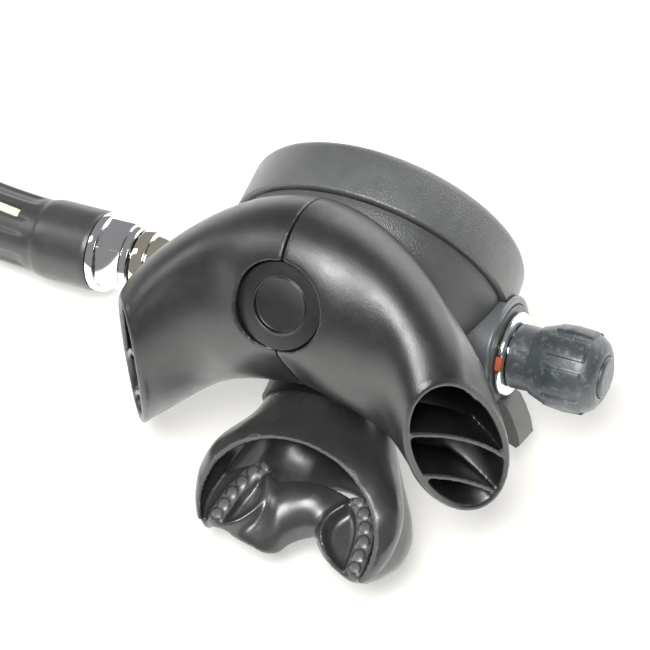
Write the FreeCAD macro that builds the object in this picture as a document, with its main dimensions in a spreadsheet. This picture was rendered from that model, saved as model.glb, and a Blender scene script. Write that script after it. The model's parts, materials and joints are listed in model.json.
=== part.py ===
import FreeCAD, Part
import math
import os
import re
import Sketcher
from FreeCAD import Placement, Rotation, Vector

# Scuba second stage (demand valve) with the low-pressure hose that feeds it, in millimetres.
# Every piece is drawn in the valve's own frame: X along the valve barrel from the hose to the
# adjusting knob, Y from the mouthpiece to the front cover, Z towards the exhaust tee. The whole
# valve is then leaned over and set down on the floor as it lies at rest, with +Z up.

doc = FreeCAD.newDocument("second_stage")
sheet = doc.addObject("Spreadsheet::Sheet", "Dim")

SIZES = [
    ("lean_pitch", 8.28, "how far the front cover end is raised off the floor, degrees"),
    ("lean_roll", 8.13, "how far the knob side is raised off the floor, degrees"),
    ("stand_x", 7.9, "set-down place of the valve's frame on the floor"),
    ("stand_y", 28.201, "set-down place of the valve's frame on the floor"),
    ("stand_z", 37.434, "height of the valve's frame over the floor"),
    ("fit_gap", 0.08, "radial gap of a running or screwed fit"),
    ("seat_gap", 0.3, "gap between pieces that lie against each other"),
    ("ring_radius", 38, "outer radius of the cover ring"),
    ("ring_near", 0.4, "near edge of the cover ring"),
    ("ring_depth", 14.85, "length of the cover ring"),
    ("ring_wall", 3, "wall of the cover ring"),
    ("ring_lip", 1.8, "thickness of the ring's inward lip"),
    ("ring_round", 2.6, "rounding of the ring's front edge"),
    ("lip_bore", 31.6, "radius of the opening in the ring's lip"),
    ("washer_thick", 0.3, "slip washer under the ring's lip"),
    ("cover_wall", 1.8, "wall of the front cover"),
    ("cover_crown", 1, "rise of the front cover from its rim to its middle"),
    ("button_radius", 20.4, "radius of the purge button"),
    ("button_crown", 1.5, "rise of the purge button's face"),
    ("button_proud", 1.2, "how far the button's edge stands over the cover"),
    ("button_travel", 3, "travel of the purge button"),
    ("post_radius", 3.2, "radius of the purge button's post"),
    ("web_thick", 1.2, "web inside the front cover that carries the purge spring"),
    ("slot_count", 10, "water slots in the front cover"),
    ("slot_width", 4.4, "width of a water slot"),
    ("purge_wire", 0.6, "wire of the purge spring"),
    ("purge_turns", 4, "turns of the purge spring"),
    ("membrane_thick", 0.6, "thickness of the diaphragm"),
    ("fold_depth", 1.5, "depth of the diaphragm's rolling fold"),
    ("bead_width", 2.8, "width of the diaphragm's clamped bead"),
    ("plate_radius", 12, "radius of the diaphragm's centre plate"),
    ("plate_thick", 0.9, "thickness of the diaphragm's centre plate"),
    ("plate_level", 4.7, "level of the centre plate's inner face"),
    ("case_radius", 36.5, "outer radius of the case"),
    ("case_depth", 25.5, "depth of the case's dome"),
    ("case_wall", 2.4, "wall of the case"),
    ("neck_top", 3.9, "rim of the case inside the cover ring"),
    ("neck_wall", 4.2, "wall of the case's rim"),
    ("barrel_y", -7.1, "barrel axis"),
    ("barrel_z", -11.63, "barrel axis"),
    ("barrel_radius", 6.4, "outer radius of the valve barrel"),
    ("inlet_radius", 7.1, "radius of the inlet thread"),
    ("inlet_end", -76, "hose end of the barrel"),
    ("barrel_end", 46, "knob end of the barrel"),
    ("inlet_bore", 4.2, "bore of the barrel at its inlet"),
    ("poppet_bore", 5, "bore of the barrel round the poppet"),
    ("seat_plane", -8.4, "plane of the orifice's knife edge"),
    ("boss_radius", 14.75, "radius of the barrel boss on the case"),
    ("boss_knob", 34.8, "knob end of the boss"),
    ("boss_hose", -44, "where the boss starts to taper on the hose side"),
    ("boss_tip", -52.3, "hose end of the boss"),
    ("boss_tip_radius", 10, "radius of the boss at its hose end"),
    ("nose_radius", 12.9, "nose of the boss inside the trim ring"),
    ("nose_end", 38.1, "end of the nose"),
    ("trim_end", 39.2, "outer face of the trim ring"),
    ("lock_ring_radius", 11, "radius of the bright lock ring"),
    ("lock_ring_thick", 1.6, "thickness of the bright lock ring"),
    ("mark_angle", 134, "direction of the lock ring's mark about the barrel, degrees"),
    ("disc_thick", 1.1, "thickness of the venturi lever's disc"),
    ("lever_angle", 233, "direction of the venturi lever about the barrel, degrees"),
    ("lever_swing", 60, "swing of the venturi lever, degrees"),
    ("lever_width", 9.5, "width of the venturi lever's tab"),
    ("vane_inner", 8.7, "inner radius of the venturi vane"),
    ("vane_thick", 1.5, "thickness of the venturi vane"),
    ("vane_start", 130, "first side of the vane about the barrel, degrees"),
    ("vane_span", 60, "width of the vane about the barrel, degrees"),
    ("vane_inside", 6, "inner end of the vane along the barrel"),
    ("knob_radius", 10.5, "largest radius of the knob's body"),
    ("knob_length", 23.6, "length of the knob"),
    ("knob_neck", 8.4, "radius of the knob's neck"),
    ("panel_count", 8, "raised grip panels round the knob"),
    ("panel_width", 5.2, "width of a grip panel"),
    ("panel_proud", 0.6, "height of a grip panel"),
    ("spindle_radius", 2.4, "radius of the adjusting spindle"),
    ("carrier_length", 10, "length of the spring carrier"),
    ("carrier_start", 26, "spring end of the spring carrier"),
    ("poppet_wire", 0.8, "wire of the poppet spring"),
    ("poppet_coil", 3.4, "mean radius of the poppet spring"),
    ("poppet_turns", 7, "turns of the poppet spring"),
    ("pivot_x", 12, "pivot of the demand lever along the barrel"),
    ("pivot_y", 0.6, "pivot of the demand lever"),
    ("tip_x", -8, "tip of the demand lever along the barrel"),
    ("strip_thick", 0.8, "thickness of the demand lever"),
    ("strip_width", 5.6, "width of the demand lever"),
    ("badge_y", -35.4, "centre of the badge on the tee"),
    ("badge_z", 41.3, "centre of the badge on the tee"),
    ("badge_lean", 44.3, "lean of the exhaust port and badge from upright, degrees"),
    ("badge_radius", 11.2, "radius of the badge"),
    ("badge_recess", 6.6, "radius of the badge's sunk middle"),
    ("port_depth", 18, "exhaust seat behind the badge's face"),
    ("port_radius", 17, "outer radius of the exhaust port"),
    ("port_bore", 13, "bore of the exhaust port"),
    ("valve_radius", 15, "radius of the exhaust valve"),
    ("tee_wall", 1.9, "wall of the exhaust tee"),
    ("fin_thick", 1.4, "thickness of a vane in the tee's mouths"),
    ("fin_depth", 13, "depth of a vane in the tee's mouths"),
    ("mouth_x", 1.5, "middle of the mouth tube"),
    ("mouth_z", -12, "middle of the mouth tube"),
    ("mouth_half_width", 15.5, "half width of the mouth tube"),
    ("mouth_half_height", 10, "half height of the mouth tube"),
    ("mouth_wall", 2, "wall of the mouth tube"),
    ("mouth_end", -38, "end of the mouth tube"),
    ("silicone_wall", 2.3, "wall of the mouthpiece's neck"),
    ("shield_x", 5, "crown of the mouthpiece's shield"),
    ("shield_y", -51.6, "crown of the mouthpiece's shield"),
    ("shield_yaw", -5.2, "turn of the soft shield on the floor, degrees"),
    ("shield_half_width", 26, "half width of the shield"),
    ("shield_sweep", 17.2, "reach of the shield's wings to their widest"),
    ("shield_wall", 2.2, "thickness of the shield"),
    ("notch_radius", 5.5, "notch in the shield's lower edge"),
    ("tab_level", -11, "top of the bite tabs"),
    ("tab_thick", 3.6, "thickness of a bite tab"),
    ("clamp_start", -33, "clamp round the mouthpiece"),
    ("clamp_width", 4.4, "width of the clamp"),
    ("clamp_thick", 1.1, "thickness of the clamp"),
    ("hose_radius", 6.25, "radius of the hose"),
    ("hose_bore", 3.6, "bore of the hose"),
    ("boot_radius", 10.2, "radius of the hose boot's body"),
    ("boot_edge", -79.65, "edge of the hose boot"),
    ("boot_collar", 11.1, "radius of the hose boot's collar"),
    ("ferrule_radius", 8.6, "radius of the crimped ferrule"),
    ("ferrule_length", 11.5, "length of the crimped ferrule"),
    ("coil_radius", 62, "radius of the hose coil at its start"),
    ("coil_growth", 14.5, "growth of the coil's radius in one turn"),
    ("coil_hump", 24.2, "height of the hose's axis where it passes over itself"),
    ("tail_thread", 4.72, "radius of the far fitting's thread"),
    ("tail_thread_length", 8, "length of the far fitting's thread"),
]

for row, (name, value, note) in enumerate(SIZES, start=1):
    sheet.set("A%d" % row, name)
    sheet.set("B%d" % row, str(value))
    sheet.setAlias("B%d" % row, name)
    sheet.set("C%d" % row, note)
doc.recompute()

ALIASES = [name for name, value, note in SIZES]
subparts = {}


def bind(text):
    """Turn a formula in plain size names into one that the document understands."""
    return re.sub(r"[a-z_]+[a-z]", lambda found: "Dim." + found.group(0)
                  if found.group(0) in ALIASES else found.group(0), str(text))


def size(text):
    return float(sheet.evalExpression(bind(text)))


def along_x(shift=0):
    return Placement(Vector(shift, 0, 0), Rotation())


def stance():
    lean = Rotation(Vector(1, 0, 0), size("lean_pitch")) * Rotation(Vector(0, 1, 0), -size("lean_roll"))
    return Placement(Vector(size("stand_x"), size("stand_y"), size("stand_z")), lean)


def barrel_frame():
    return Placement(Vector(0, size("barrel_y"), size("barrel_z")), Rotation())


def front_frame():
    """Local X runs from the middle of the case to the front cover."""
    return Placement(Vector(), Rotation(Vector(0, 0, 1), 90))


def port_normal():
    lean = math.radians(size("badge_lean"))
    return Vector(0, -math.sin(lean), math.cos(lean))


def port_frame():
    """Local X leaves the exhaust port; its zero is the badge's face."""
    return Placement(Vector(0, size("badge_y"), size("badge_z")), Rotation(Vector(1, 0, 0), port_normal()))


def keep(piece, label, frame=None):
    """Name a finished sub-part and set it down on the floor with the rest."""
    piece.Label = label
    piece.Placement = stance() * frame if frame else stance()
    subparts[label] = piece
    return piece


def turned(label, outline):
    """A solid of revolution about its X axis from (along, radius) formulas."""
    body = doc.addObject("PartDesign::Body", label)
    plane = [item for item in body.Origin.OriginFeatures if item.Role == "XY_Plane"][0]
    sketch = body.newObject("Sketcher::SketchObject", label + "_outline")
    sketch.AttachmentSupport = [(plane, "")]
    sketch.MapMode = "FlatFace"
    corners = [Vector(size(along), size(radius), 0) for along, radius in outline]
    count = len(corners)
    for index, corner in enumerate(corners):
        sketch.addGeometry(Part.LineSegment(corner, corners[(index + 1) % count]), False)
    for index in range(count):
        sketch.addConstraint(Sketcher.Constraint("Coincident", index, 2, (index + 1) % count, 1))
    for index, (along, radius) in enumerate(outline):
        for kind, text, place in (("DistanceX", along, corners[index].x), ("DistanceY", radius, corners[index].y)):
            item = sketch.addConstraint(Sketcher.Constraint(kind, -1, 1, index, 1, place))
            sketch.setExpression("Constraints[%d]" % item, bind(text))
    spin = body.newObject("PartDesign::Revolution", label + "_turned")
    spin.Profile = sketch
    spin.ReferenceAxis = (sketch, ["H_Axis"])
    spin.Angle = 360
    doc.recompute()
    return body


def bound(kind, label, sizes, place=None):
    """A primitive whose sizes are formulas of the sheet."""
    piece = doc.addObject(kind, label)
    for name, text in sizes.items():
        piece.setExpression(name, bind(text))
    if place:
        piece.Placement = place
    return piece


def block(label, x_size, y_size, z_size, place):
    """A box centred on local Y and Z, starting at local x = 0."""
    shift = Placement(Vector(0, -size(y_size) / 2, -size(z_size) / 2), Rotation())
    return bound("Part::Box", label, {"Length": x_size, "Width": y_size, "Height": z_size}, place * shift)


def joined(label, pieces):
    piece = doc.addObject("Part::MultiFuse", label)
    piece.Shapes = pieces
    return piece


def less(label, base, tools):
    piece = doc.addObject("Part::Cut", label)
    piece.Base = base
    piece.Tool = joined(label + "_tools", tools) if len(tools) > 1 else tools[0]
    return piece


def shaped(label, shape):
    piece = doc.addObject("Part::Feature", label)
    piece.Shape = shape
    return piece


def across_x():
    """Turns a ring from its own axis Z onto the barrel's axis X."""
    return Placement(Vector(), Rotation(Vector(0, 1, 0), 90))


def about_x(angle, place=None):
    turn = Placement(Vector(), Rotation(Vector(1, 0, 0), angle))
    return turn * place if place else turn


def largest(shape):
    return max(shape.Solids, key=lambda solid: solid.Volume)


def oval(half_width, half_height, middle):
    """A closed oval wire square to Y."""
    ellipse = Part.Ellipse(middle, max(half_width, half_height), min(half_width, half_height))
    shape = Part.Wire(Part.Edge(ellipse))
    shape.rotate(middle, Vector(1, 0, 0), 90)
    return shape


def oval_prism(half_width, half_height, low, high):
    middle = Vector(size("mouth_x"), low, size("mouth_z"))
    return Part.Face(oval(half_width, half_height, middle)).extrude(Vector(0, high - low, 0))


def cylinder(radius, start, direction, length):
    return Part.makeCylinder(radius, length, start, direction)


def sector(inner, outer, first, span, low, high):
    """A slice of a tube about the barrel's axis, from angle first over span degrees."""
    base = Part.makePolygon([Vector(low, inner, 0), Vector(high, inner, 0), Vector(high, outer, 0),
                             Vector(low, outer, 0), Vector(low, inner, 0)])
    face = Part.Face(base)
    face.rotate(Vector(), Vector(1, 0, 0), first)
    return face.revolve(Vector(), Vector(1, 0, 0), span)


def tangent_arc(start, corner, end):
    """The arc that leaves start towards corner and reaches end, both as far from the corner."""
    chord = (start + end) * 0.5
    rise = corner - chord
    half = start.distanceToPoint(chord)
    if rise.Length < 1e-6 * half:
        return Part.LineSegment(start, end).toShape()
    middle = chord + rise * (half * math.tan(math.atan2(rise.Length, half) / 2) / rise.Length)
    return Part.Arc(start, middle, end).toShape()


def biarc(start, start_way, end, end_way):
    """Two arcs that join two points, each with its direction."""
    chord = end - start
    both = start_way + end_way
    twist = 2 * (1 - start_way.dot(end_way))
    reach = chord.dot(both)
    if twist > 1e-9:
        arm = (-reach + math.sqrt(reach ** 2 + twist * chord.dot(chord))) / twist
    else:
        arm = chord.dot(chord) / (2 * reach)
    first, second = start + start_way * arm, end - end_way * arm
    middle = (first + second) * 0.5
    return [tangent_arc(start, first, middle), tangent_arc(middle, second, end)]


def pipe(edges, start, way, outer, inner=0):
    """A round tube swept along edges that join smoothly."""
    path = Part.Wire(edges)
    solids = []
    for radius in [outer] + ([inner] if inner else []):
        circle = Part.Wire(Part.Circle(start, way, radius).toShape())
        shell = Part.BRepOffsetAPI.MakePipeShell(path)
        shell.add(circle)
        shell.build()
        shell.makeSolid()
        solids.append(shell.shape())
    return solids[0].cut(solids[1]) if inner else solids[0]


def wound_spring(radius, wire, turns, low, high):
    """A coil spring about local X, wound as arcs of a quarter turn."""
    steps = int(round(turns * 4))
    rise = (high - low - 2 * wire) / steps
    nodes = []
    for step in range(steps + 1):
        angle = math.pi / 2 * step
        place = Vector(low + wire + rise * step, radius * math.cos(angle), radius * math.sin(angle))
        way = Vector(rise / (math.pi / 2), -radius * math.sin(angle), radius * math.cos(angle))
        nodes.append((place, way.normalize()))
    edges = []
    for (start, start_way), (end, end_way) in zip(nodes, nodes[1:]):
        edges += biarc(start, start_way, end, end_way)
    return pipe(edges, nodes[0][0], nodes[0][1], wire / 2)


def case_outline(grow):
    """The outside of the case as one filled solid, swelled by grow."""
    dome = Part.makeSphere(1, Vector(), Vector(0, -1, 0), 0, 90, 360)
    stretch = FreeCAD.Matrix()
    stretch.scale(size("case_radius") + grow, size("case_depth") + grow, size("case_radius") + grow)
    dome = dome.transformGeometry(stretch)
    neck_radius = size("ring_radius - ring_wall - fit_gap") + grow
    neck = cylinder(neck_radius, Vector(0, -6, 0), Vector(0, 1, 0), size("neck_top") + 6)
    axis = Vector(0, size("barrel_y"), size("barrel_z"))
    ahead = Vector(1, 0, 0)
    boss_start = size("boss_hose")
    boss = cylinder(size("boss_radius") + grow, axis + ahead * boss_start, ahead, size("boss_knob") + grow - boss_start)
    nose = cylinder(size("nose_radius") + grow, axis, ahead, size("nose_end"))
    tip_start = size("boss_tip") - grow
    tip = Part.makeCone(size("boss_tip_radius") + grow, size("boss_radius") + grow, boss_start - tip_start,
                        axis + ahead * tip_start, ahead)
    face = Vector(0, size("badge_y"), size("badge_z")) - port_normal() * (size("port_depth") - grow)
    port = cylinder(size("port_radius") + grow, face - port_normal() * 16, port_normal(), 16)
    mouth = oval_prism(size("mouth_half_width") + grow, size("mouth_half_height") + grow, size("mouth_end"), -14)
    return dome.multiFuse([neck, boss, nose, tip, port, mouth])


def ring_envelope():
    """The space of the cover ring, kept clear outside the case's rim."""
    near = size("ring_near - seat_gap")
    outer = cylinder(size("ring_radius + seat_gap"), Vector(0, near, 0), Vector(0, 1, 0), size("ring_depth") + 8)
    inner = cylinder(size("ring_radius - ring_wall - fit_gap"), Vector(0, near - 1, 0), Vector(0, 1, 0),
                     size("ring_depth") + 10)
    above = cylinder(size("ring_radius + seat_gap"), Vector(0, size("neck_top"), 0), Vector(0, 1, 0), 30)
    return outer.cut(inner).fuse(above)


def make_case():
    wall = size("case_wall")
    hollow = Part.makeSphere(1, Vector(), Vector(0, -1, 0), 0, 90, 360)
    stretch = FreeCAD.Matrix()
    stretch.scale(size("case_radius") - wall, size("case_depth") - wall, size("case_radius") - wall)
    hollow = hollow.transformGeometry(stretch)
    throat = size("ring_radius - ring_wall - fit_gap - neck_wall")
    hollow = hollow.common(cylinder(throat + 2, Vector(0, -40, 0), Vector(0, 1, 0), 40))
    opening = cylinder(throat, Vector(0, -4, 0), Vector(0, 1, 0), 40)
    axis = Vector(0, size("barrel_y"), size("barrel_z"))
    bore = cylinder(size("barrel_radius + fit_gap"), axis - Vector(80, 0, 0), Vector(1, 0, 0), 160)
    slot = sector(size("vane_inner") - 0.4, size("vane_inner + vane_thick") + 0.4, size("vane_start") - 5,
                  size("vane_span + lever_swing") + 10, 12, 45)
    slot.translate(axis)
    normal = port_normal()
    seat = Vector(0, size("badge_y"), size("badge_z")) - normal * size("port_depth")
    port = cylinder(size("port_bore"), seat - normal * 22, normal, 30)
    mouth = oval_prism(size("mouth_half_width - mouth_wall"), size("mouth_half_height - mouth_wall"),
                       size("mouth_end") - 1, -12)
    shell = case_outline(0).cut(ring_envelope()).cut(hollow.fuse(opening))
    shell = largest(shell.cut(bore).cut(slot).cut(port).cut(mouth))
    spider_low = -3.2
    hub = cylinder(3.2, seat + normal * spider_low, normal, 2.4)
    across = Vector(1, 0, 0)
    spokes = []
    for index in range(3):
        spoke = Part.makeBox(size("port_bore") + 1, 1.8, 2.2, Vector(0, -0.9, spider_low))
        spoke.rotate(Vector(), Vector(0, 0, 1), 90 + 120 * index)
        spoke.Placement = Placement(seat, Rotation(across, across.cross(normal) * -1, normal)) * spoke.Placement
        spokes.append(spoke)
    shell = shell.multiFuse([hub] + spokes)
    stem_hole = cylinder(1.7, seat - normal * 10, normal, 20)
    keep(shaped("case_body", shell.cut(stem_hole).removeSplitter()), "case_body")


def make_cover_ring():
    inside = "ring_radius - ring_wall"
    ring = turned("cover_ring_body", [
        ("ring_near", inside), ("ring_near", "ring_radius - 0.5"), ("ring_near + 0.5", "ring_radius"),
        ("ring_near + ring_depth - ring_round", "ring_radius - 0.4"),
        ("ring_near + ring_depth - ring_round * 0.62", "ring_radius - 0.4 - ring_round * 0.08"),
        ("ring_near + ring_depth - ring_round * 0.29", "ring_radius - 0.4 - ring_round * 0.29"),
        ("ring_near + ring_depth - ring_round * 0.08", "ring_radius - 0.4 - ring_round * 0.62"),
        ("ring_near + ring_depth", "ring_radius - 0.4 - ring_round"),
        ("ring_near + ring_depth", "lip_bore"), ("ring_near + ring_depth - ring_lip", "lip_bore"),
        ("ring_near + ring_depth - ring_lip", inside)])
    keep(ring, "cover_ring", front_frame())
    low = "ring_near + ring_depth - ring_lip - washer_thick - 0.05"
    washer = turned("slip_washer_body", [
        (low, "lip_bore + 0.3"), (low, inside + " - 0.4"),
        (low + " + washer_thick", inside + " - 0.4"), (low + " + washer_thick", "lip_bore + 0.3")])
    keep(washer, "slip_washer", front_frame())


def make_front_cover():
    rim = "ring_near + ring_depth - ring_lip - washer_thick - 0.1"
    outer = "ring_radius - ring_wall - fit_gap - 0.3"
    face = "ring_near + ring_depth - 0.4"
    hole = "button_radius + seat_gap"
    cover = turned("cover_blank", [
        ("neck_top + 2.6", outer), (rim, outer), (rim, "lip_bore - 0.3"), (face, "lip_bore - 0.8"),
        (face + " + cover_crown", hole), (face + " + cover_crown - cover_wall", hole),
        (face + " - cover_wall", "lip_bore - 2.6"), ("neck_top + 3.1 + web_thick", "lip_bore - 2.6"),
        ("neck_top + 3.1 + web_thick", "post_radius + 0.5"), ("neck_top + 3.1", "post_radius + 0.5"),
        ("neck_top + 3.1", "lip_bore - 2.2"), ("neck_top + 2.6", "lip_bore - 2.2")])
    slots = []
    for index in range(int(size("slot_count"))):
        angle = 360.0 / size("slot_count") * (index + 0.5)
        for deep, start, long in (("face", 25.8, 3.2), ("web", 14, 9)):
            place = about_x(angle, Placement(Vector(size("neck_top") + (8 if deep == "face" else 1), start, 0),
                                             Rotation()))
            box = block("slot_%s_%d" % (deep, index), "12" if deep == "face" else "5", "1", "slot_width", place)
            box.Width = long
            slots.append(box)
    keep(less("front_cover_cut", cover, slots), "front_cover", front_frame())


def make_purge():
    face = "ring_near + ring_depth - 0.4 + cover_crown + button_proud"
    under = "neck_top + 3.1 + web_thick + button_travel + 0.6"
    button = turned("button_body", [
        ("plate_level + plate_thick + membrane_thick + seat_gap", "0"),
        ("plate_level + plate_thick + membrane_thick + seat_gap", "post_radius"),
        (face + " - 2.4", "post_radius"), (face + " - 2.4", "button_radius - 1.8"),
        (under, "button_radius - 1.8"), (under, "button_radius + 1.6"), (under + " + 1", "button_radius + 1.6"),
        (under + " + 1", "button_radius"), (face + " - 0.8", "button_radius"), (face, "button_radius - 1.2"),
        (face + " + button_crown * 0.62", "button_radius * 0.62"), (face + " + button_crown", "0")])
    keep(button, "purge_button", front_frame())
    low = size("neck_top + 3.1 + web_thick")
    high = size(face + " - 2.4")
    spring = wound_spring(size("post_radius") + 1.9, size("purge_wire"), size("purge_turns"), low, high)
    keep(shaped("purge_spring_wire", spring), "purge_spring", front_frame())


def make_diaphragm():
    under = "plate_level + plate_thick"
    over = under + " + membrane_thick"
    outer = "ring_radius - ring_wall - fit_gap - 0.5"
    inner = outer + " - bead_width"
    membrane = turned("diaphragm_body", [
        (under, "0"), (under, "plate_radius + 8"), (under + " - fold_depth", "plate_radius + 10"),
        (under + " - fold_depth", "plate_radius + 14"), ("neck_top + 0.7", inner), ("neck_top + 0.1", inner),
        ("neck_top + 0.1", outer), ("neck_top + 2.5", outer), ("neck_top + 2.5", inner),
        (over + " - fold_depth", "plate_radius + 14.4"), (over + " - fold_depth", "plate_radius + 10.4"),
        (over, "plate_radius + 8.4"), (over, "0")])
    keep(membrane, "diaphragm", front_frame())
    plate = turned("plate_body", [
        ("plate_level", "0"), ("plate_level", "plate_radius - 0.4"), ("plate_level + 0.4", "plate_radius"),
        ("plate_level + plate_thick", "plate_radius"), ("plate_level + plate_thick", "0")])
    keep(plate, "diaphragm_plate", front_frame())


def make_lever():
    """The demand lever: a strip over the barrel, with two feet that reach the poppet's shoulder."""
    thick, width = size("strip_thick"), size("strip_width")
    pivot = Vector(size("pivot_x"), size("pivot_y"), 0)
    tip = Vector(size("tip_x"), size("plate_level - seat_gap") - 0.8, 0)
    slope = math.degrees(math.atan2(tip.y - pivot.y, pivot.x - tip.x))
    length = pivot.distanceToPoint(tip)
    place = Placement(pivot, Rotation(Vector(0, 0, 1), 180 - slope))
    strip = block("lever_strip", str(length), "strip_thick", "strip_width", place)
    along_z = Rotation(Vector(0, 0, 1), 0)
    roller = bound("Part::Cylinder", "lever_tip", {"Radius": "0.8", "Height": "strip_width"},
                   Placement(tip - Vector(0, 0, width / 2), along_z))
    fulcrum_radius = size("pivot_y - barrel_y - barrel_radius - seat_gap")
    fulcrum = bound("Part::Cylinder", "lever_fulcrum", {"Radius": str(fulcrum_radius), "Height": "strip_width"},
                    Placement(pivot - Vector(0, 0, width / 2), along_z))
    shoulder = 9 - size("seat_gap")
    low = size("barrel_y") + 2.3
    roof = pivot.y + thick / 2
    outline = [(shoulder - 1.5, low), (shoulder, low), (shoulder, pivot.y - 2.6), (pivot.x + 0.6, pivot.y - 0.8),
               (pivot.x + 0.6, roof), (shoulder - 1.5, roof)]
    feet = []
    for side in (-1, 1):
        wire = Part.makePolygon([Vector(x, y, side * (width / 2 - 0.5)) for x, y in outline + outline[:1]])
        feet.append(shaped("lever_foot_%d" % (side + 1), Part.Face(wire).extrude(Vector(0, 0, -side * 0.9))))
    lever = joined("lever_joined", [strip, roller, fulcrum] + feet)
    keep(lever, "demand_lever", Placement(Vector(0, 0, size("barrel_z")), Rotation()))


def make_barrel():
    step = "seat_plane - 0.6"
    tube = turned("barrel_tube", [
        ("inlet_end", "inlet_bore"), ("inlet_end", "inlet_radius - 0.6"), ("inlet_end + 0.6", "inlet_radius"),
        ("boss_tip - fit_gap", "inlet_radius"), ("boss_tip - fit_gap", "barrel_radius"),
        ("barrel_end - 0.5", "barrel_radius"), ("barrel_end", "barrel_radius - 0.5"),
        ("barrel_end", "poppet_bore"), (step, "poppet_bore"), (step, "inlet_bore")])
    window = block("lever_window", "8.4", "10", "strip_width + 1.2",
                   Placement(Vector(6.2, 6.2, 0), Rotation()))
    outlet = bound("Part::Cylinder", "air_outlet", {"Radius": "2.6", "Height": "12"},
                   Placement(Vector(3, 0, 0), Rotation(Vector(1, 0, 0), 90)))
    keep(less("barrel_cut", tube, [window, outlet]), "valve_barrel", barrel_frame())
    orifice = turned("orifice_body", [
        ("seat_plane - 11", "1.5"), ("seat_plane - 11", "inlet_bore - fit_gap"),
        ("seat_plane - 7.4", "inlet_bore - fit_gap"), ("seat_plane - 7.4", "inlet_bore - 1"),
        ("seat_plane - 5.8", "inlet_bore - 1"), ("seat_plane - 5.8", "inlet_bore - fit_gap"),
        ("seat_plane - 0.9", "inlet_bore - fit_gap"), ("seat_plane - 0.9", "2.5"), ("seat_plane", "1.9"),
        ("seat_plane", "1.5")])
    keep(orifice, "orifice", barrel_frame())
    o_ring = bound("Part::Torus", "orifice_ring_body",
                   {"Radius1": "inlet_bore - 0.5", "Radius2": "0.44"})
    keep(o_ring, "orifice_o_ring", barrel_frame() * along_x(size("seat_plane") - 6.6) * across_x())


def make_poppet():
    start = "seat_plane + 0.12"
    disc = turned("seat_body", [(start, "0"), (start, "3.1"), (start + " + 1.5", "3.1"), (start + " + 1.5", "0")])
    keep(disc, "valve_seat", barrel_frame())
    head = "poppet_bore - seat_gap"
    cup = start + " + 0.4"
    poppet = turned("poppet_body", [
        (start + " + 1.5", "0"), (start + " + 1.5", "3.1 + fit_gap"), (cup, "3.1 + fit_gap"), (cup, head),
        ("-3", head), ("-3", "2.2"), ("9", "2.2"), ("9", head), ("10.2", head), ("10.2", "1.4"),
        ("carrier_start - 3", "1.4"), ("carrier_start - 3", "0")])
    keep(poppet, "poppet", barrel_frame())
    spring = wound_spring(size("poppet_coil"), size("poppet_wire"), size("poppet_turns"), 10.4,
                          size("carrier_start") - 0.2)
    keep(shaped("poppet_spring_wire", spring), "poppet_spring", barrel_frame())


def make_adjuster():
    head = "poppet_bore - seat_gap"
    last = "carrier_start + carrier_length"
    carrier = turned("carrier_body", [
        ("carrier_start", "0"), ("carrier_start", head), (last, head), (last, "spindle_radius + fit_gap"),
        ("carrier_start + 1.2", "spindle_radius + fit_gap"), ("carrier_start + 1.2", "0")])
    keep(carrier, "spring_carrier", barrel_frame())
    spindle = turned("spindle_body", [
        (last + " - 3.9", "0"), (last + " - 3.9", "spindle_radius"), ("barrel_end - 4.6", "spindle_radius"),
        ("barrel_end - 4.6", head), ("barrel_end - 3.4", head), ("barrel_end - 3.4", "spindle_radius"),
        ("trim_end + knob_length - 2.6", "spindle_radius"), ("trim_end + knob_length - 2.6", "0.9 + fit_gap"),
        ("trim_end + knob_length - 7", "0.9 + fit_gap"), ("trim_end + knob_length - 7", "0")])
    keep(spindle, "adjusting_spindle", barrel_frame())
    gland = turned("gland_body", [
        ("barrel_end - 3.1", "spindle_radius + fit_gap"), ("barrel_end - 3.1", "poppet_bore - fit_gap"),
        ("barrel_end + 0.1", "poppet_bore - fit_gap"), ("barrel_end + 0.1", "barrel_radius - 0.6"),
        ("barrel_end + 1.1", "barrel_radius - 0.6"), ("barrel_end + 1.1", "spindle_radius + fit_gap")])
    keep(gland, "spindle_gland", barrel_frame())


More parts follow.
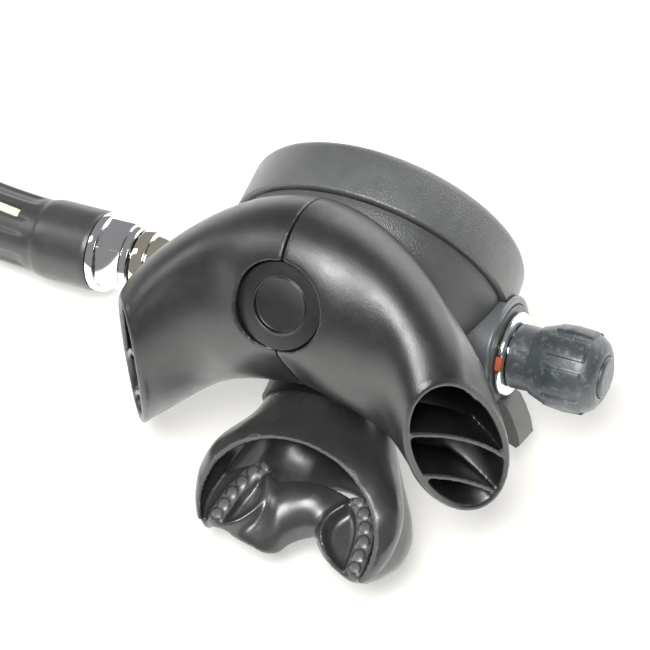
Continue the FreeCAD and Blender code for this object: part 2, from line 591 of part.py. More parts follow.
def make_knob():
    start = size("trim_end") + 2.5
    place = barrel_frame() * along_x(start)
    bore = "barrel_radius + 0.35"
    reach = str(size("barrel_end") + 1.6 - start)
    blank = turned("knob_blank", [
        ("0", bore), ("0", "knob_neck - 0.3"), ("0.4", "knob_neck"), ("5.4", "knob_neck - 0.15"),
        ("5.9", "knob_neck + 0.5"), ("knob_length * 0.4", "knob_radius - 0.3"),
        ("knob_length * 0.62", "knob_radius"), ("knob_length * 0.82", "knob_radius - 0.2"),
        ("knob_length * 0.9", "knob_radius - 0.8"), ("knob_length * 0.96", "knob_radius - 1.9"),
        ("knob_length", "knob_radius - 3.6"), ("knob_length", "5.6"), ("knob_length - 1.4", "5.6"),
        ("knob_length - 1.4", "spindle_radius + fit_gap"), (reach, "spindle_radius + fit_gap"), (reach, bore)])
    panels = []
    for index in range(int(size("panel_count"))):
        angle = 360.0 / size("panel_count") * index
        at = about_x(angle, Placement(Vector(size("knob_length") * 0.44, size("knob_radius + panel_proud") - 1.6, 0),
                                      Rotation()))
        panels.append(block("grip_panel_%d" % index, "knob_length * 0.42", "3.2", "panel_width", at))
    rim = turned("panel_limit", [
        ("knob_length * 0.43", "0"), ("knob_length * 0.43", "knob_radius + panel_proud - 0.4"),
        ("knob_length * 0.62", "knob_radius + panel_proud"),
        ("knob_length * 0.84", "knob_radius + panel_proud - 0.3"),
        ("knob_length * 0.87", "knob_radius + panel_proud - 1.1"), ("knob_length * 0.87", "0")])
    trimmed = doc.addObject("Part::Common", "panels_trimmed")
    trimmed.Base = joined("panels_joined", panels)
    trimmed.Tool = rim
    clear = turned("panel_clearance", [
        ("1", "0"), ("1", "knob_radius - 1.6"), ("knob_length * 0.9", "knob_radius - 1.6"),
        ("knob_length * 0.9", "0")])
    pads = less("panels_hollowed", trimmed, [clear])
    knob = joined("knob_joined", [blank, pads])
    keep(knob, "adjusting_knob", place)
    cap = turned("cap_body", [
        ("knob_length - 0.9", "0"), ("knob_length - 0.9", "5.6 - fit_gap"), ("knob_length + 0.5", "5.4 - fit_gap"),
        ("knob_length + 0.9", "4.6"), ("knob_length + 0.9", "0")])
    keep(cap, "knob_cap", place)
    screw = turned("screw_body", [
        ("knob_length - 6.6", "0"), ("knob_length - 6.6", "0.9"), ("knob_length - 2.2", "0.9"),
        ("knob_length - 2.2", "2.2"), ("knob_length - 1.2", "2.2"), ("knob_length - 1.2", "0")])
    keep(screw, "knob_screw", place)


def make_barrel_trim():
    axis = Vector(0, size("barrel_y"), size("barrel_z"))
    ahead = Vector(1, 0, 0)
    start = size("boss_knob")
    length = size("trim_end") - start
    outer = cylinder(size("boss_radius") + 0.1, axis + ahead * start, ahead, length)
    outer = outer.makeFillet(0.9, [edge for edge in outer.Edges if edge.BoundBox.XMin > size("trim_end") - 0.1])
    trim = outer.cut(cylinder(size("nose_radius") + 0.1, axis, ahead, 60))
    trim = trim.cut(ring_envelope()).cut(case_outline(size("fit_gap")))
    keep(shaped("trim_solid", largest(trim)), "barrel_trim_ring")
    low = "trim_end + 0.6"
    high = low + " + lock_ring_thick"
    ring = turned("lock_ring_blank", [
        (low, "barrel_radius + fit_gap"), (low, "lock_ring_radius - 0.5"), (low + " + 0.4", "lock_ring_radius"),
        (high + " - 0.4", "lock_ring_radius"), (high, "lock_ring_radius - 0.5"),
        (high, "barrel_radius + fit_gap")])
    mark_angle = size("mark_angle")
    mark = sector(8.8, 12, mark_angle - 10, 20, size(low) - 1, size(high) + 1)
    ring_cut = less("lock_ring_cut", ring, [shaped("mark_pocket", mark)])
    keep(ring_cut, "lock_ring", barrel_frame())
    inlay = sector(8.9, size("lock_ring_radius") - 0.02, mark_angle - 9.4, 18.8, size(low) + 0.05, size(high) - 0.02)
    keep(shaped("mark_inlay", inlay), "index_mark", barrel_frame())


def make_venturi():
    low = size("nose_end + seat_gap")
    high = low + size("disc_thick")
    disc = Part.makeCylinder(size("nose_radius") - 0.2, high - low, Vector(low, 0, 0), Vector(1, 0, 0))
    disc = disc.cut(Part.makeCylinder(size("barrel_radius") + 0.5, 20, Vector(low - 5, 0, 0), Vector(1, 0, 0)))
    base = size("trim_end") + 0.3
    width = size("lever_width")
    outline = [(low, 11.3), (low, 12.6), (base, 12.9), (base, 15.3), (base + 2.2, 18.6), (base + 3.7, 22.8),
               (base + 5.8, 23.6), (base + 6.8, 22.6), (base + 5.8, 19), (base + 4.2, 15.6), (base + 2.3, 12.6),
               (base + 0.1, 11.5)]
    wire = Part.makePolygon([Vector(x, radius, -width / 2) for x, radius in outline + outline[:1]])
    arm = Part.Face(wire).extrude(Vector(0, 0, width))
    round_hole = Part.makeCylinder(size("nose_radius") - 0.2, 20, Vector(base - 20, 0, 0), Vector(1, 0, 0))
    past_trim = Part.makeBox(40, 60, 40, Vector(base, -30, -20))
    arm = arm.common(round_hole.fuse(past_trim))
    ribs = []
    for index in range(4):
        spot = Vector(base + 5.8 - index * 0.42, 22.2 - index * 1.4, -width / 2 + 1)
        ribs.append(Part.makeCylinder(0.6, width - 2, spot, Vector(0, 0, 1)))
    arm = arm.multiFuse(ribs)
    arm.rotate(Vector(), Vector(1, 0, 0), size("lever_angle"))
    lever = disc.fuse(arm).removeSplitter()
    keep(shaped("venturi_lever_solid", lever), "venturi_lever", barrel_frame())
    vane = sector(size("vane_inner"), size("vane_inner + vane_thick"), size("vane_start"), size("vane_span"),
                  size("vane_inside"), low)
    keep(shaped("venturi_vane_solid", vane), "venturi_vane", barrel_frame())


def make_exhaust_valve():
    seat = "-port_depth"
    valve = turned("exhaust_flap", [
        (seat + " - 6.4", "0"), (seat + " - 6.4", "1"), (seat + " - 4.4", "2.5"), (seat + " - 3.9", "2.5"),
        (seat + " - 3.4", "1.5"), (seat + " + 0.1", "1.5"), (seat + " + 0.1", "valve_radius"),
        (seat + " + 0.5", "valve_radius"), (seat + " + 1.1", "valve_radius * 0.5"), (seat + " + 1.5", "2.6"),
        (seat + " + 2.4", "1.6"), (seat + " + 2.4", "0")])
    keep(valve, "exhaust_valve", port_frame())


def tee_sections(wall):
    """Closed sections of the tee from its middle to its right mouth, drawn in by wall."""
    middle = [(-3.5, 40), (-9.5, 48.8), (-18.5, 53.2), (-27.8, 51.2), (-36, 42.6), (-42.8, 34.2), (-42.4, 25),
              (-40.4, 14), (-37, 5.5), (-29, 5), (-14, 18), (-3.5, 30)]
    heart = Vector(0, -23.5, 31)
    rows = [[heart + (Vector(0, y, z) - heart) * (1 - wall / (Vector(0, y, z) - heart).Length) for y, z in middle]]
    ovals = [(Vector(16, -26.5, 27), Vector(0.98, -0.12, 0), 23.5, 17.5, 28),
             (Vector(32, -34, 19.5), Vector(0.86, -0.48, 0.1), 23, 14, 12),
             (Vector(44.8, -46, 11.7), Vector(0.767, -0.604, 0.217), 24.1, 12.4, -1.8)]
    for place, normal, tall, wide, tilt in ovals:
        normal.normalize()
        up = Vector(0, 0, 1) - normal * normal.z
        up.normalize()
        side = up.cross(normal)
        lean, points = math.radians(tilt), []
        for index in range(len(middle)):
            turn = math.radians(45 + 360.0 * index / len(middle))
            across, over = (wide - wall) * math.cos(turn), (tall - wall) * math.sin(turn)
            points.append(place + side * (across * math.cos(lean) + over * math.sin(lean))
                          + up * (over * math.cos(lean) - across * math.sin(lean)))
        rows.append(points)
    return rows


def tee_loft(wall):
    """The right half of the tee as one solid from its middle to its mouth."""
    wires = []
    for row in tee_sections(wall):
        curve = Part.BSplineCurve()
        curve.interpolate(Points=row, PeriodicFlag=True)
        wires.append(Part.Wire(curve.toShape()))
    return Part.makeLoft(wires, True, False)


def tee_fins():
    """Two curved vanes across each mouth, drawn for the right one."""
    inward = Vector(-0.767, 0.604, -0.217)
    fins = []
    for points in ([(37.6, -51.2, 22.7), (43.6, -45.7, 16.8), (52.2, -40.6, 0.4)],
                   [(38.4, -54.9, 9.3), (44.8, -49.5, 1.8), (50.6, -46.1, -9.1)]):
        first, middle, last = [Vector(*point) for point in points]
        stretch = (last - first) * 0.12
        arc = Part.Arc(first - stretch, middle, last + stretch).toShape()
        sheet_face = arc.extrude(inward * size("fin_depth"))
        fins.append(sheet_face.makeOffsetShape(size("fin_thick"), 0.01, fill=True))
    return fins


def make_tee():
    normal = port_normal()
    face = Vector(0, size("badge_y"), size("badge_z"))
    outer = tee_loft(0)
    inner = tee_loft(size("tee_wall"))
    pocket = cylinder(size("badge_radius") + 0.25, face - normal * 1.1, normal, 14)
    floor = cylinder(size("badge_radius") + 1.8, face - normal * 3, normal, 8).common(outer)
    stem = cylinder(size("badge_recess") - 0.3, face - normal * 12, normal, 20)
    fins = [largest(fin.common(outer)) for fin in tee_fins()]
    seam = Part.makeBox(100, 200, 200, Vector(0.06, -150, -100))
    right = outer.cut(inner).fuse(floor).common(seam).cut(pocket).cut(stem)
    right = largest(right.cut(case_outline(size("seat_gap")))).multiFuse(fins)
    keep(shaped("tee_right_solid", right), "tee_right")
    keep(shaped("tee_left_solid", right.mirror(Vector(), Vector(1, 0, 0))), "tee_left")


def make_badge():
    badge = turned("badge_body", [
        ("-8", "0"), ("-8", "badge_recess - 2"), ("-5", "badge_recess - 0.6"), ("-1", "badge_recess - 0.6"),
        ("-1", "badge_radius"), ("-0.3", "badge_radius"), ("0", "badge_radius - 0.3"), ("0", "badge_recess + 0.4"),
        ("-0.4", "badge_recess"), ("-0.8", "badge_recess"), ("-0.8", "0")])
    keep(badge, "tee_badge", port_frame())


def closed_curve(spots):
    curve = Part.BSplineCurve()
    curve.interpolate(spots, PeriodicFlag=True)
    return Part.Face(Part.Wire(curve.toShape()))


def open_curve(spots):
    curve = Part.BSplineCurve()
    curve.interpolate(spots)
    return curve.toShape()


def shield_outline():
    """The shield seen from the side, as a prism that crosses it."""
    spots = [(-50, 4.6), (-55, 3.4), (-60, 1.4), (-65, -1.6), (-70, -5), (-74.3, -8.2), (-76.4, -11.3),
             (-74.3, -14.4), (-70, -18.6), (-65, -22.4), (-60, -25.6), (-55, -27.9), (-50, -28.6)]
    edge = open_curve([Vector(-50, y, z) for y, z in spots])
    back = Part.makePolygon([Vector(-50, -50, -28.6), Vector(-50, -40, -28.6), Vector(-50, -40, 4.6),
                             Vector(-50, -50, 4.6)])
    return Part.Face(Part.Wire([edge] + back.Edges)).extrude(Vector(110, 0, 0))


def between(rows, steps):
    """Rows with steps smooth rows put into each gap, by a Catmull-Rom curve through them."""
    ends = [rows[0]] + rows + [rows[-1]]
    filled = []
    for before, near, far, after in zip(ends, ends[1:], ends[2:], ends[3:]):
        for step in range(steps):
            t = step / steps
            filled.append([0.5 * (2 * n + (f - b) * t + (2 * b - 5 * n + 4 * f - a) * t * t
                                  + (3 * n - b - 3 * f + a) * t ** 3)
                           for b, n, f, a in zip(before, near, far, after)])
    return filled + [rows[-1]]


def bite_plate():
    """Plan of the two bite tabs and the bridge between them."""
    spots = [(-13, -54.5), (-7, -57.5), (-1.6, -57), (6, -55.3), (13, -55.8), (17, -57.3), (22, -56.5), (33, -64),
             (34, -76), (27, -77.4), (21.9, -76.9), (16.8, -75.4), (12.9, -71.6), (10, -69), (6.4, -69.2),
             (3.2, -71.8), (1, -74.6), (-2.5, -76), (-7, -75.4), (-13, -74.2), (-19.2, -73.6), (-26, -69), (-23, -58)]
    return closed_curve([Vector(x, y, size("tab_level")) for x, y in spots])


def make_mouthpiece():
    inner_width = size("mouth_half_width + 0.3")
    inner_height = size("mouth_half_height + 0.3")
    wall, thick = size("silicone_wall"), size("shield_wall")
    outer_width, outer_height = inner_width + wall, inner_height + wall
    level = size("mouth_z")

    def bell(rows):
        return Part.makeLoft([oval(half_width, half_height, Vector(x, y, level))
                              for x, y, half_width, half_height in between(rows, 2)], True, True)

    neck = bell([(1.5, -37.1, outer_width - 0.15, outer_height - 0.15), (2.6, -42, outer_width + 0.9, outer_height - 0.7),
                 (4, -46, outer_width + 3.2, outer_height + 0.2), (4.8, -50, outer_width + 5.6, outer_height + 1.2),
                 (5, -55, outer_width + 8, outer_height + 1.2), (5, -61, outer_width + 9, outer_height - 1),
                 (5, -68, outer_width + 9.4, outer_height - 4.5), (5, -72.5, outer_width + 7, outer_height - 8)])
    bore = bell([(1.5, -37.7, inner_width - 0.2, inner_height - 0.2), (2.6, -42, inner_width - 0.1, inner_height - 1.8),
                 (4, -46, inner_width + 2.4, inner_height - 1.5), (4.8, -50, inner_width + 4.8, inner_height - 1.4),
                 (5, -54, inner_width + 7, inner_height - 1.6), (5, -58, inner_width + 7.6, inner_height - 2.6)])
    crown = Vector(size("shield_x"), size("shield_y"), 0)
    wide, sweep = size("shield_half_width"), size("shield_sweep")

    def column(shrink):
        rim = Part.Ellipse(crown - Vector(0, sweep, 45), wide - shrink, sweep - shrink).toShape()
        tall = Part.Face(Part.Wire(rim)).extrude(Vector(0, 0, 70))
        tall.rotate(crown, Vector(0, 0, 1), size("shield_yaw"))
        return tall

    shield = shield_outline()
    shield.rotate(crown, Vector(0, 0, 1), size("shield_yaw"))
    notch = cylinder(size("notch_radius"), crown + Vector(0, 10, -28.6), Vector(0, -1, 0), 30)
    shield = shield.common(column(0)).cut(column(thick)).cut(notch)
    plate = bite_plate().extrude(Vector(0, 0, -size("tab_thick"))).common(column(thick - 0.9))
    start = Vector(size("mouth_x"), 0, level)
    sleeve = Part.Face(oval(outer_width, outer_height, start + Vector(0, -27.5, 0)))
    sleeve = sleeve.extrude(Vector(0, -10.9, 0))
    through = Part.Face(oval(inner_width, inner_height, start + Vector(0, -20, 0))).extrude(Vector(0, -18.6, 0))
    solid = shield.multiFuse([neck.cut(column(thick)), sleeve]).cut(bore).fuse(plate)
    solid = largest(solid.cut(through))
    keep(shaped("mouthpiece_solid", solid), "mouthpiece", solid.Placement)
    middle = Placement(Vector(size("mouth_x"), 0, size("mouth_z")), Rotation())
    start = size("clamp_start")
    band_in = Part.Face(oval(inner_width + wall + 0.1, inner_height + wall + 0.1, Vector(0, start, 0)))
    thick = size("clamp_thick")
    band_out = Part.Face(oval(inner_width + wall + thick, inner_height + wall + thick, Vector(0, start, 0)))
    width = Vector(0, -size("clamp_width"), 0)
    band = band_out.extrude(width).cut(band_in.extrude(width))
    lock_base = Vector(-3.5, start - size("clamp_width") - 0.3, -inner_height - wall - thick - 1.6)
    lock = Part.makeBox(7, size("clamp_width") + 0.6, 3.2, lock_base)
    inside = Part.Face(oval(inner_width + wall + 0.1, inner_height + wall + 0.1, Vector(0, start + 2, 0)))
    lock = lock.cut(inside.extrude(width * 3))
    keep(shaped("clamp_solid", band.fuse(lock).removeSplitter()), "mouthpiece_clamp", middle)


def make_inlet():
    tip = "boss_tip - 0.1"
    collar = turned("collar_body", [
        (tip, "inlet_radius + fit_gap"), (tip, "8.8"), (tip + " - 2.9", "9"), (tip + " - 4.7", "9"),
        (tip + " - 4.7", "8.3"), (tip + " - 10.5", "8.3"), (tip + " - 10.5", "9.3"), (tip + " - 14", "9.3"),
        (tip + " - 14.4", "8.9"), (tip + " - 14.4", "inlet_radius + fit_gap")])
    keep(collar, "inlet_collar", barrel_frame())
    edge = "boot_edge + 0.15"
    blank = turned("nut_blank", [
        (edge, "4.6"), (edge, "10.4"), (edge + " + 0.4", "10.8"), (edge + " + 2.5", "10.8"),
        (edge + " + 2.6", "10.3"), (edge + " + 10", "10.3"), (edge + " + 10.1", "9.6"),
        (edge + " + 11.9", "9.6"), (edge + " + 12.3", "9.2"), (edge + " + 12.3", "inlet_radius + fit_gap"),
        (edge + " + 3.5", "inlet_radius + fit_gap"), (edge + " + 3.5", "4.6")])
    flats = []
    for index in range(6):
        at = about_x(60 * index + 22, Placement(Vector(size(edge) + 2.6, 8.9 + 3, 0), Rotation()))
        flats.append(block("nut_flat_%d" % index, "7.4", "6", "14", at))
    keep(less("nut_cut", blank, flats), "hose_nut", barrel_frame())
    stem = turned("stem_body", [
        (edge + " - 6", "2"), (edge + " - 6", "4.5"), (edge + " + 3.2", "4.5"), (edge + " + 3.2", "4.1"),
        (edge + " + 4.9", "4.1"), (edge + " + 4.9", "3.2"), (edge + " + 6.5", "3.2"), (edge + " + 6.5", "4.1"),
        (edge + " + 8.4", "4.1"), (edge + " + 8.4", "2")])
    keep(stem, "hose_stem", barrel_frame())
    o_ring = bound("Part::Torus", "stem_ring_body", {"Radius1": "3.68", "Radius2": "0.44"})
    keep(o_ring, "stem_o_ring", barrel_frame() * along_x(size(edge) + 5.7) * across_x())
    ferrule = turned("ferrule_body", [
        (edge + " - ferrule_length - 0.3", "0"), (edge + " - ferrule_length - 0.3", "ferrule_radius - 0.6"),
        (edge + " - ferrule_length + 0.3", "ferrule_radius"), (edge + " - 3.5", "ferrule_radius"),
        (edge + " - 2.9", "ferrule_radius - 0.5"), (edge + " - 2.3", "ferrule_radius"),
        (edge + " - 0.6", "ferrule_radius"), (edge + " - 0.3", "ferrule_radius - 0.4"),
        (edge + " - 0.3", "4.5 + fit_gap"), (edge + " - 6.1", "4.5 + fit_gap"), (edge + " - 6.1", "0")])
    keep(ferrule, "hose_ferrule", barrel_frame())


# The hose's route on the floor, each point counted from the ferrule's mouth in the set-down frame:
# out of the ferrule, level inside the boot, down onto the floor and on to the coil.
ROUTE = [(0, 0, 0), (-11.88, 0.244, -1.679), (-34, 1.9, -1.7), (-64, 4.1, -1.75), (-92, 5.4, -2.1),
         (-120, 6.3, -5.4), (-144, 6.5, -5.98), (-166, 6.5, -5.98)]


def hose_exit():
    place = stance() * barrel_frame()
    return place.multVec(Vector(size("boot_edge + 0.15 - ferrule_length - 0.3"), 0, 0))


def route_edges(points, report=False):
    """Straight runs joined by tangent arcs, each as large as its two runs allow."""
    edges, last = [], points[0]
    radii = []
    for before, corner, after in zip(points, points[1:], points[2:]):
        reach = 0.45 * min(before.distanceToPoint(corner), corner.distanceToPoint(after))
        into = corner + (before - corner).normalize() * reach
        away = corner + (after - corner).normalize() * reach
        half_turn = (corner - before).getAngle(after - corner) / 2
        radii.append(reach / math.tan(half_turn))
        edges.append(Part.LineSegment(last, into).toShape())
        edges.append(tangent_arc(into, corner, away))
        last = away
    edges.append(Part.LineSegment(last, points[-1]).toShape())
    if report:
        print("hose bends, mm:", [round(radius) for radius in radii])
    return edges


def hose_points():
    return [hose_exit() + Vector(*offset) for offset in ROUTE]


def coil_nodes():
    """Points and directions of the coil, a quarter turn apart, with the hump where it crosses."""
    start = hose_points()[-1]
    heading = math.radians(90)
    radius = size("coil_radius")
    growth = size("coil_growth") / (2 * math.pi)
    middle = Vector(start.x, start.y - radius, 0)
    crossing = 3.7
    quarter_steps = [0, 0.9, 1.8, 2.75, crossing, 4.65, 5.2]
    nodes = []
    for step in quarter_steps:
        turn = step * math.pi / 2
        reach = radius + growth * turn
        angle = heading + turn
        lift = size("coil_hump") if step == crossing else size("hose_radius")
        spot = Vector(middle.x + reach * math.cos(angle), middle.y + reach * math.sin(angle), lift)
        way = Vector(-reach * math.sin(angle) + growth * math.cos(angle),
                     reach * math.cos(angle) + growth * math.sin(angle), 0)
        nodes.append((spot, way.normalize()))
    nodes[0] = (Vector(start.x, start.y, start.z), Vector(-1, 0, 0))
    return nodes


def far_end():
    """Where the hose ends after one straight diameter, and the way it points."""
    spot, way = coil_nodes()[-1]
    return spot + way * (2 * size("hose_radius")), way


def make_hose():
    radius = size("hose_radius")
    points = hose_points()
    edges = route_edges(points, report=True)
    way = (points[1] - points[0]).normalize()
    tube = pipe(edges, points[0], way, radius)
    length = sum(edge.Length for edge in edges)
    print("free hose: length %.1f mm, volume ratio %.5f" % (length, tube.Volume / (math.pi * radius ** 2 * length)))
    subparts["hose_tube"] = shaped("hose_tube_solid", tube)
    subparts["hose_tube"].Label = "hose_tube"
    nodes = coil_nodes()
    turns = []
    for (start, start_way), (end, end_way) in zip(nodes, nodes[1:]):
        turns += biarc(start, start_way, end, end_way)
    turns.append(Part.LineSegment(nodes[-1][0], far_end()[0]).toShape())
    coil = pipe(turns, nodes[0][0], nodes[0][1], radius)
    length = sum(edge.Length for edge in turns)
    print("coiled hose: length %.1f mm, volume ratio %.5f" % (length, coil.Volume / (math.pi * radius ** 2 * length)))
    samples = []
    for edge in edges + turns:
        count = max(2, int(edge.Length / 2))
        samples += [edge.valueAt(edge.FirstParameter + (edge.LastParameter - edge.FirstParameter) * i / count)
                    for i in range(count)]
    walked = [0]
    for first, second in zip(samples, samples[1:]):
        walked.append(walked[-1] + first.distanceToPoint(second))
    apart = min(samples[i].distanceToPoint(samples[j]) for i in range(len(samples)) for j in range(i)
                if walked[i] - walked[j] > 8 * radius)
    print("least gap of the hose to itself: %.2f mm" % (apart - 2 * radius))
    subparts["hose_coil"] = shaped("hose_coil_solid", coil)
    subparts["hose_coil"].Label = "hose_coil"


def make_boot():
    """The rubber boot over the ferrule and the first part of the hose."""
    points = hose_points()[:5]
    edges = route_edges(points)
    way = (points[1] - points[0]).normalize()
    body = pipe(edges[:-1], points[0], way, size("boot_radius"))
    bore = pipe(edges, points[0], way, size("hose_radius + seat_gap"))
    ferrule_mouth = size("boot_edge + 0.15 - ferrule_length - 0.3")
    place = stance() * barrel_frame()

    def round_part(outline):
        wire = Part.makePolygon([Vector(x, radius, 0) for x, radius in outline + outline[:1]])
        solid = Part.Face(wire).revolve(Vector(), Vector(1, 0, 0), 360)
        solid.Placement = place * solid.Placement
        return solid

    edge, collar, slim = size("boot_edge"), size("boot_collar"), size("boot_radius")
    start = round_part([(edge, 0), (edge, collar - 0.4), (edge - 0.4, collar), (ferrule_mouth - 1, collar),
                        (ferrule_mouth - 5.5, slim - 0.3), (ferrule_mouth - 5.5, 0)])
    sleeve = round_part([(edge + 1, 0), (edge + 1, size("ferrule_radius") + 0.1),
                         (ferrule_mouth - 0.05, size("ferrule_radius") + 0.1), (ferrule_mouth - 0.05, 0)])
    boot = start.fuse(body).cut(sleeve).cut(bore)
    subparts["hose_boot"] = shaped("hose_boot_solid", largest(boot))
    subparts["hose_boot"].Label = "hose_boot"


def make_far_end():
    spot, way = far_end()
    place = Placement(spot, Rotation(Vector(1, 0, 0), way))
    thread_start = "24.6"
    pieces = [
        ("end_ferrule", turned("end_ferrule_body", [
            ("0", "0"), ("0", "hose_radius - 0.3"), ("0.3", "hose_radius"), ("14", "hose_radius"),
            ("14.2", "hose_radius - 0.3"), ("14.2", "3.2 + fit_gap"), ("8", "3.2 + fit_gap"), ("8", "0")])),
        ("end_o_ring", bound("Part::Torus", "end_ring_body",
                             {"Radius1": "tail_thread + 0.35", "Radius2": "0.75"},
                             Placement(Vector(size(thread_start) - 0.4, 0, 0), Rotation(Vector(0, 1, 0), 90)))),
    ]
    blank = turned("end_blank", [
        ("8.3", "1.9"), ("8.3", "3.2"), ("14.6", "3.2"), ("14.6", "hose_radius - 0.4"), ("15", "hose_radius"),
        ("16.2", "hose_radius"), ("16.4", "hose_radius"), ("23", "hose_radius"),
        ("23.2", "hose_radius - 0.3"), ("23.2", "tail_thread - 0.6"), ("24.9", "tail_thread - 0.6"),
        ("24.9", "tail_thread"), ("24.6 + tail_thread_length", "tail_thread"),
        ("25.2 + tail_thread_length", "tail_thread - 0.6"), ("25.2 + tail_thread_length", "1.9")])
    flats = []
    for index in range(6):
        at = about_x(60 * index, Placement(Vector(16.3, 5.55 + 2.5, 0), Rotation()))
        flats.append(block("end_flat_%d" % index, "6.8", "5", "9", at))
    pieces.append(("end_fitting", less("end_cut", blank, flats)))
    for label, piece in pieces:
        piece.Label = label
        piece.Placement = place * piece.Placement
        subparts[label] = piece


make_case()
make_cover_ring()
make_front_cover()
make_purge()
make_diaphragm()
make_lever()
make_barrel()
make_poppet()
make_adjuster()
make_knob()
make_barrel_trim()
make_venturi()
make_exhaust_valve()
make_tee()
make_badge()
make_mouthpiece()
make_inlet()
make_hose()
make_boot()
make_far_end()

doc.recompute()
failed = [item.Name for item in doc.Objects if "Invalid" in item.State or "Error" in item.State]
if failed:
    raise RuntimeError("failed objects: %s" % ", ".join(failed))
for label, piece in subparts.items():
    shape = piece.Shape
    if shape.isNull() or not shape.isValid() or not shape.Solids:
        raise RuntimeError("bad solid: " + label)
os.makedirs("parts", exist_ok=True)
for label, piece in subparts.items():
    piece.Shape.exportStep(os.path.join("parts", label + ".step"))
print("%d sub-parts written" % len(subparts))
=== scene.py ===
import bmesh
import bpy
import json
import math
from mathutils import Matrix, Vector, kdtree


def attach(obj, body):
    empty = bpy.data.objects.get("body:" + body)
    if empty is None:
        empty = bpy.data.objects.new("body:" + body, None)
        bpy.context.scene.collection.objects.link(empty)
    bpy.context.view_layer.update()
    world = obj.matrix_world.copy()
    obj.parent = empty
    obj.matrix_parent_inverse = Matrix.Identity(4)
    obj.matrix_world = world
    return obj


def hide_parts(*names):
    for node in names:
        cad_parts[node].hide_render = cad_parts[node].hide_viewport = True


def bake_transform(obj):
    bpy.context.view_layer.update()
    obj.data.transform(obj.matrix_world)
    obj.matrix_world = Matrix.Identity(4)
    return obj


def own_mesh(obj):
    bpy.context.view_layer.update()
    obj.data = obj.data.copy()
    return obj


# Scuba second stage lying upside down on a pale floor. Pieces are modelled in the valve's own
# frame (X along the barrel to the knob, Y to the front cover, Z to the exhaust tee) and are then
# settled onto the floor as the CAD model is.

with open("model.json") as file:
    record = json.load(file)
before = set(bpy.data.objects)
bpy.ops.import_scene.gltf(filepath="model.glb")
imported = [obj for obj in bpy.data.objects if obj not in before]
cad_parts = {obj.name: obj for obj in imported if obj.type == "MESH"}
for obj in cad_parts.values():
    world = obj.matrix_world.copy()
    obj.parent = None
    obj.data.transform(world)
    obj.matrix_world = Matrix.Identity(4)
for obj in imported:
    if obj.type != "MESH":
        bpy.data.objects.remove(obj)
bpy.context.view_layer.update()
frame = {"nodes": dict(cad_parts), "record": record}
bodyOf = {node: name for name, nodes in frame["record"]["behaviour"]["bodies"].items() for node in nodes}
mm = 0.001

stance = {"pitch": 8.28, "roll": 8.13, "place": (7.9, 28.201, 37.434)}
settleMatrix = (Matrix.Translation(Vector(stance["place"]) * mm)
                @ Matrix.Rotation(math.radians(stance["pitch"]), 4, "X")
                @ Matrix.Rotation(math.radians(-stance["roll"]), 4, "Y"))


def onFloor(point):
    return settleMatrix @ (Vector(point) * mm)


def newPiece(name, data):
    piece = bpy.data.objects.new(name, data)
    bpy.context.collection.objects.link(piece)
    return piece


def deselectAll():
    if bpy.context.object and bpy.context.object.mode != "OBJECT":
        bpy.ops.object.mode_set(mode="OBJECT")
    bpy.ops.object.select_all(action="DESELECT")


def pick(piece):
    deselectAll()
    piece.select_set(True)
    bpy.context.view_layer.objects.active = piece


def applyModifiers(piece):
    pick(piece)
    for modifier in list(piece.modifiers):
        bpy.ops.object.modifier_apply(modifier=modifier.name)


def smoothPiece(piece, angle):
    pick(piece)
    bpy.ops.object.shade_smooth_by_angle(angle=math.radians(angle))


def settle(piece):
    piece.data.transform(settleMatrix @ Matrix.Scale(mm, 4))
    piece.data.update()


def valveCopy(node, name):
    # A copy of a node's mesh, brought back into the valve's frame and to mm.
    piece = newPiece(name, frame["nodes"][node].data.copy())
    piece.data.transform(Matrix.Scale(1 / mm, 4) @ settleMatrix.inverted())
    return piece


def openWelded(piece, weld):
    # Leaves the piece in edit mode, all selected, with its double points merged.
    pick(piece)
    bpy.ops.object.mode_set(mode="EDIT")
    bpy.ops.mesh.select_all(action="SELECT")
    bpy.ops.mesh.customdata_custom_splitnormals_clear()
    bpy.ops.mesh.remove_doubles(threshold=weld)


def turnFacesOut(piece):
    pick(piece)
    bpy.ops.object.mode_set(mode="EDIT")
    bpy.ops.mesh.select_all(action="SELECT")
    bpy.ops.mesh.normals_make_consistent(inside=False)
    bpy.ops.object.mode_set(mode="OBJECT")


def squareTo(way):
    # The upright and the sideways direction, both square to a way.
    up = (Vector((0, 0, 1)) - way * way.z).normalized()
    return up, up.cross(way)


def dress(piece, material, body, *nodes):
    piece.data.materials.clear()
    piece.data.materials.append(material)
    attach(piece, body)
    if nodes:
        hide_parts(*nodes)


# Materials. A grain is a noise's scale, detail and roughness; all patterns are on Object coordinates.

grains = {"tone": (60, 6, 0.6), "scuff": (420, 8, 0.75), "gloss": (240, 5, 0.6), "ripple": (500, 3, 0.5),
          "cast": (80, 4, 0.6), "brush": (700, 4, 0.6), "scratch": (900, 6, 0.7)}
noiseLow, noiseHigh = 0.3, 0.7
plasticLook = {"scuffGain": 4, "scuffLift": 0.05, "scuffWide": 0.16, "glossDown": 0.05, "glossUp": 0.06,
               "bumpDepth": 0.0002, "plainBump": 0.05}
metalLook = {"dim": 0.93, "scratchHigh": 0.75, "bump": 0.02, "bumpDepth": 0.0001}


def link(tree, source, output, target, entry):
    tree.links.new(source.outputs[output], target.inputs[entry])


def basicMaterial(name, colour, rough, metal=0.0):
    material = bpy.data.materials.new(name)
    material.use_nodes = True
    shader = material.node_tree.nodes["Principled BSDF"]
    shader.inputs["Base Color"].default_value = (*colour, 1)
    shader.inputs["Roughness"].default_value = rough
    shader.inputs["Metallic"].default_value = metal
    return material, material.node_tree, shader


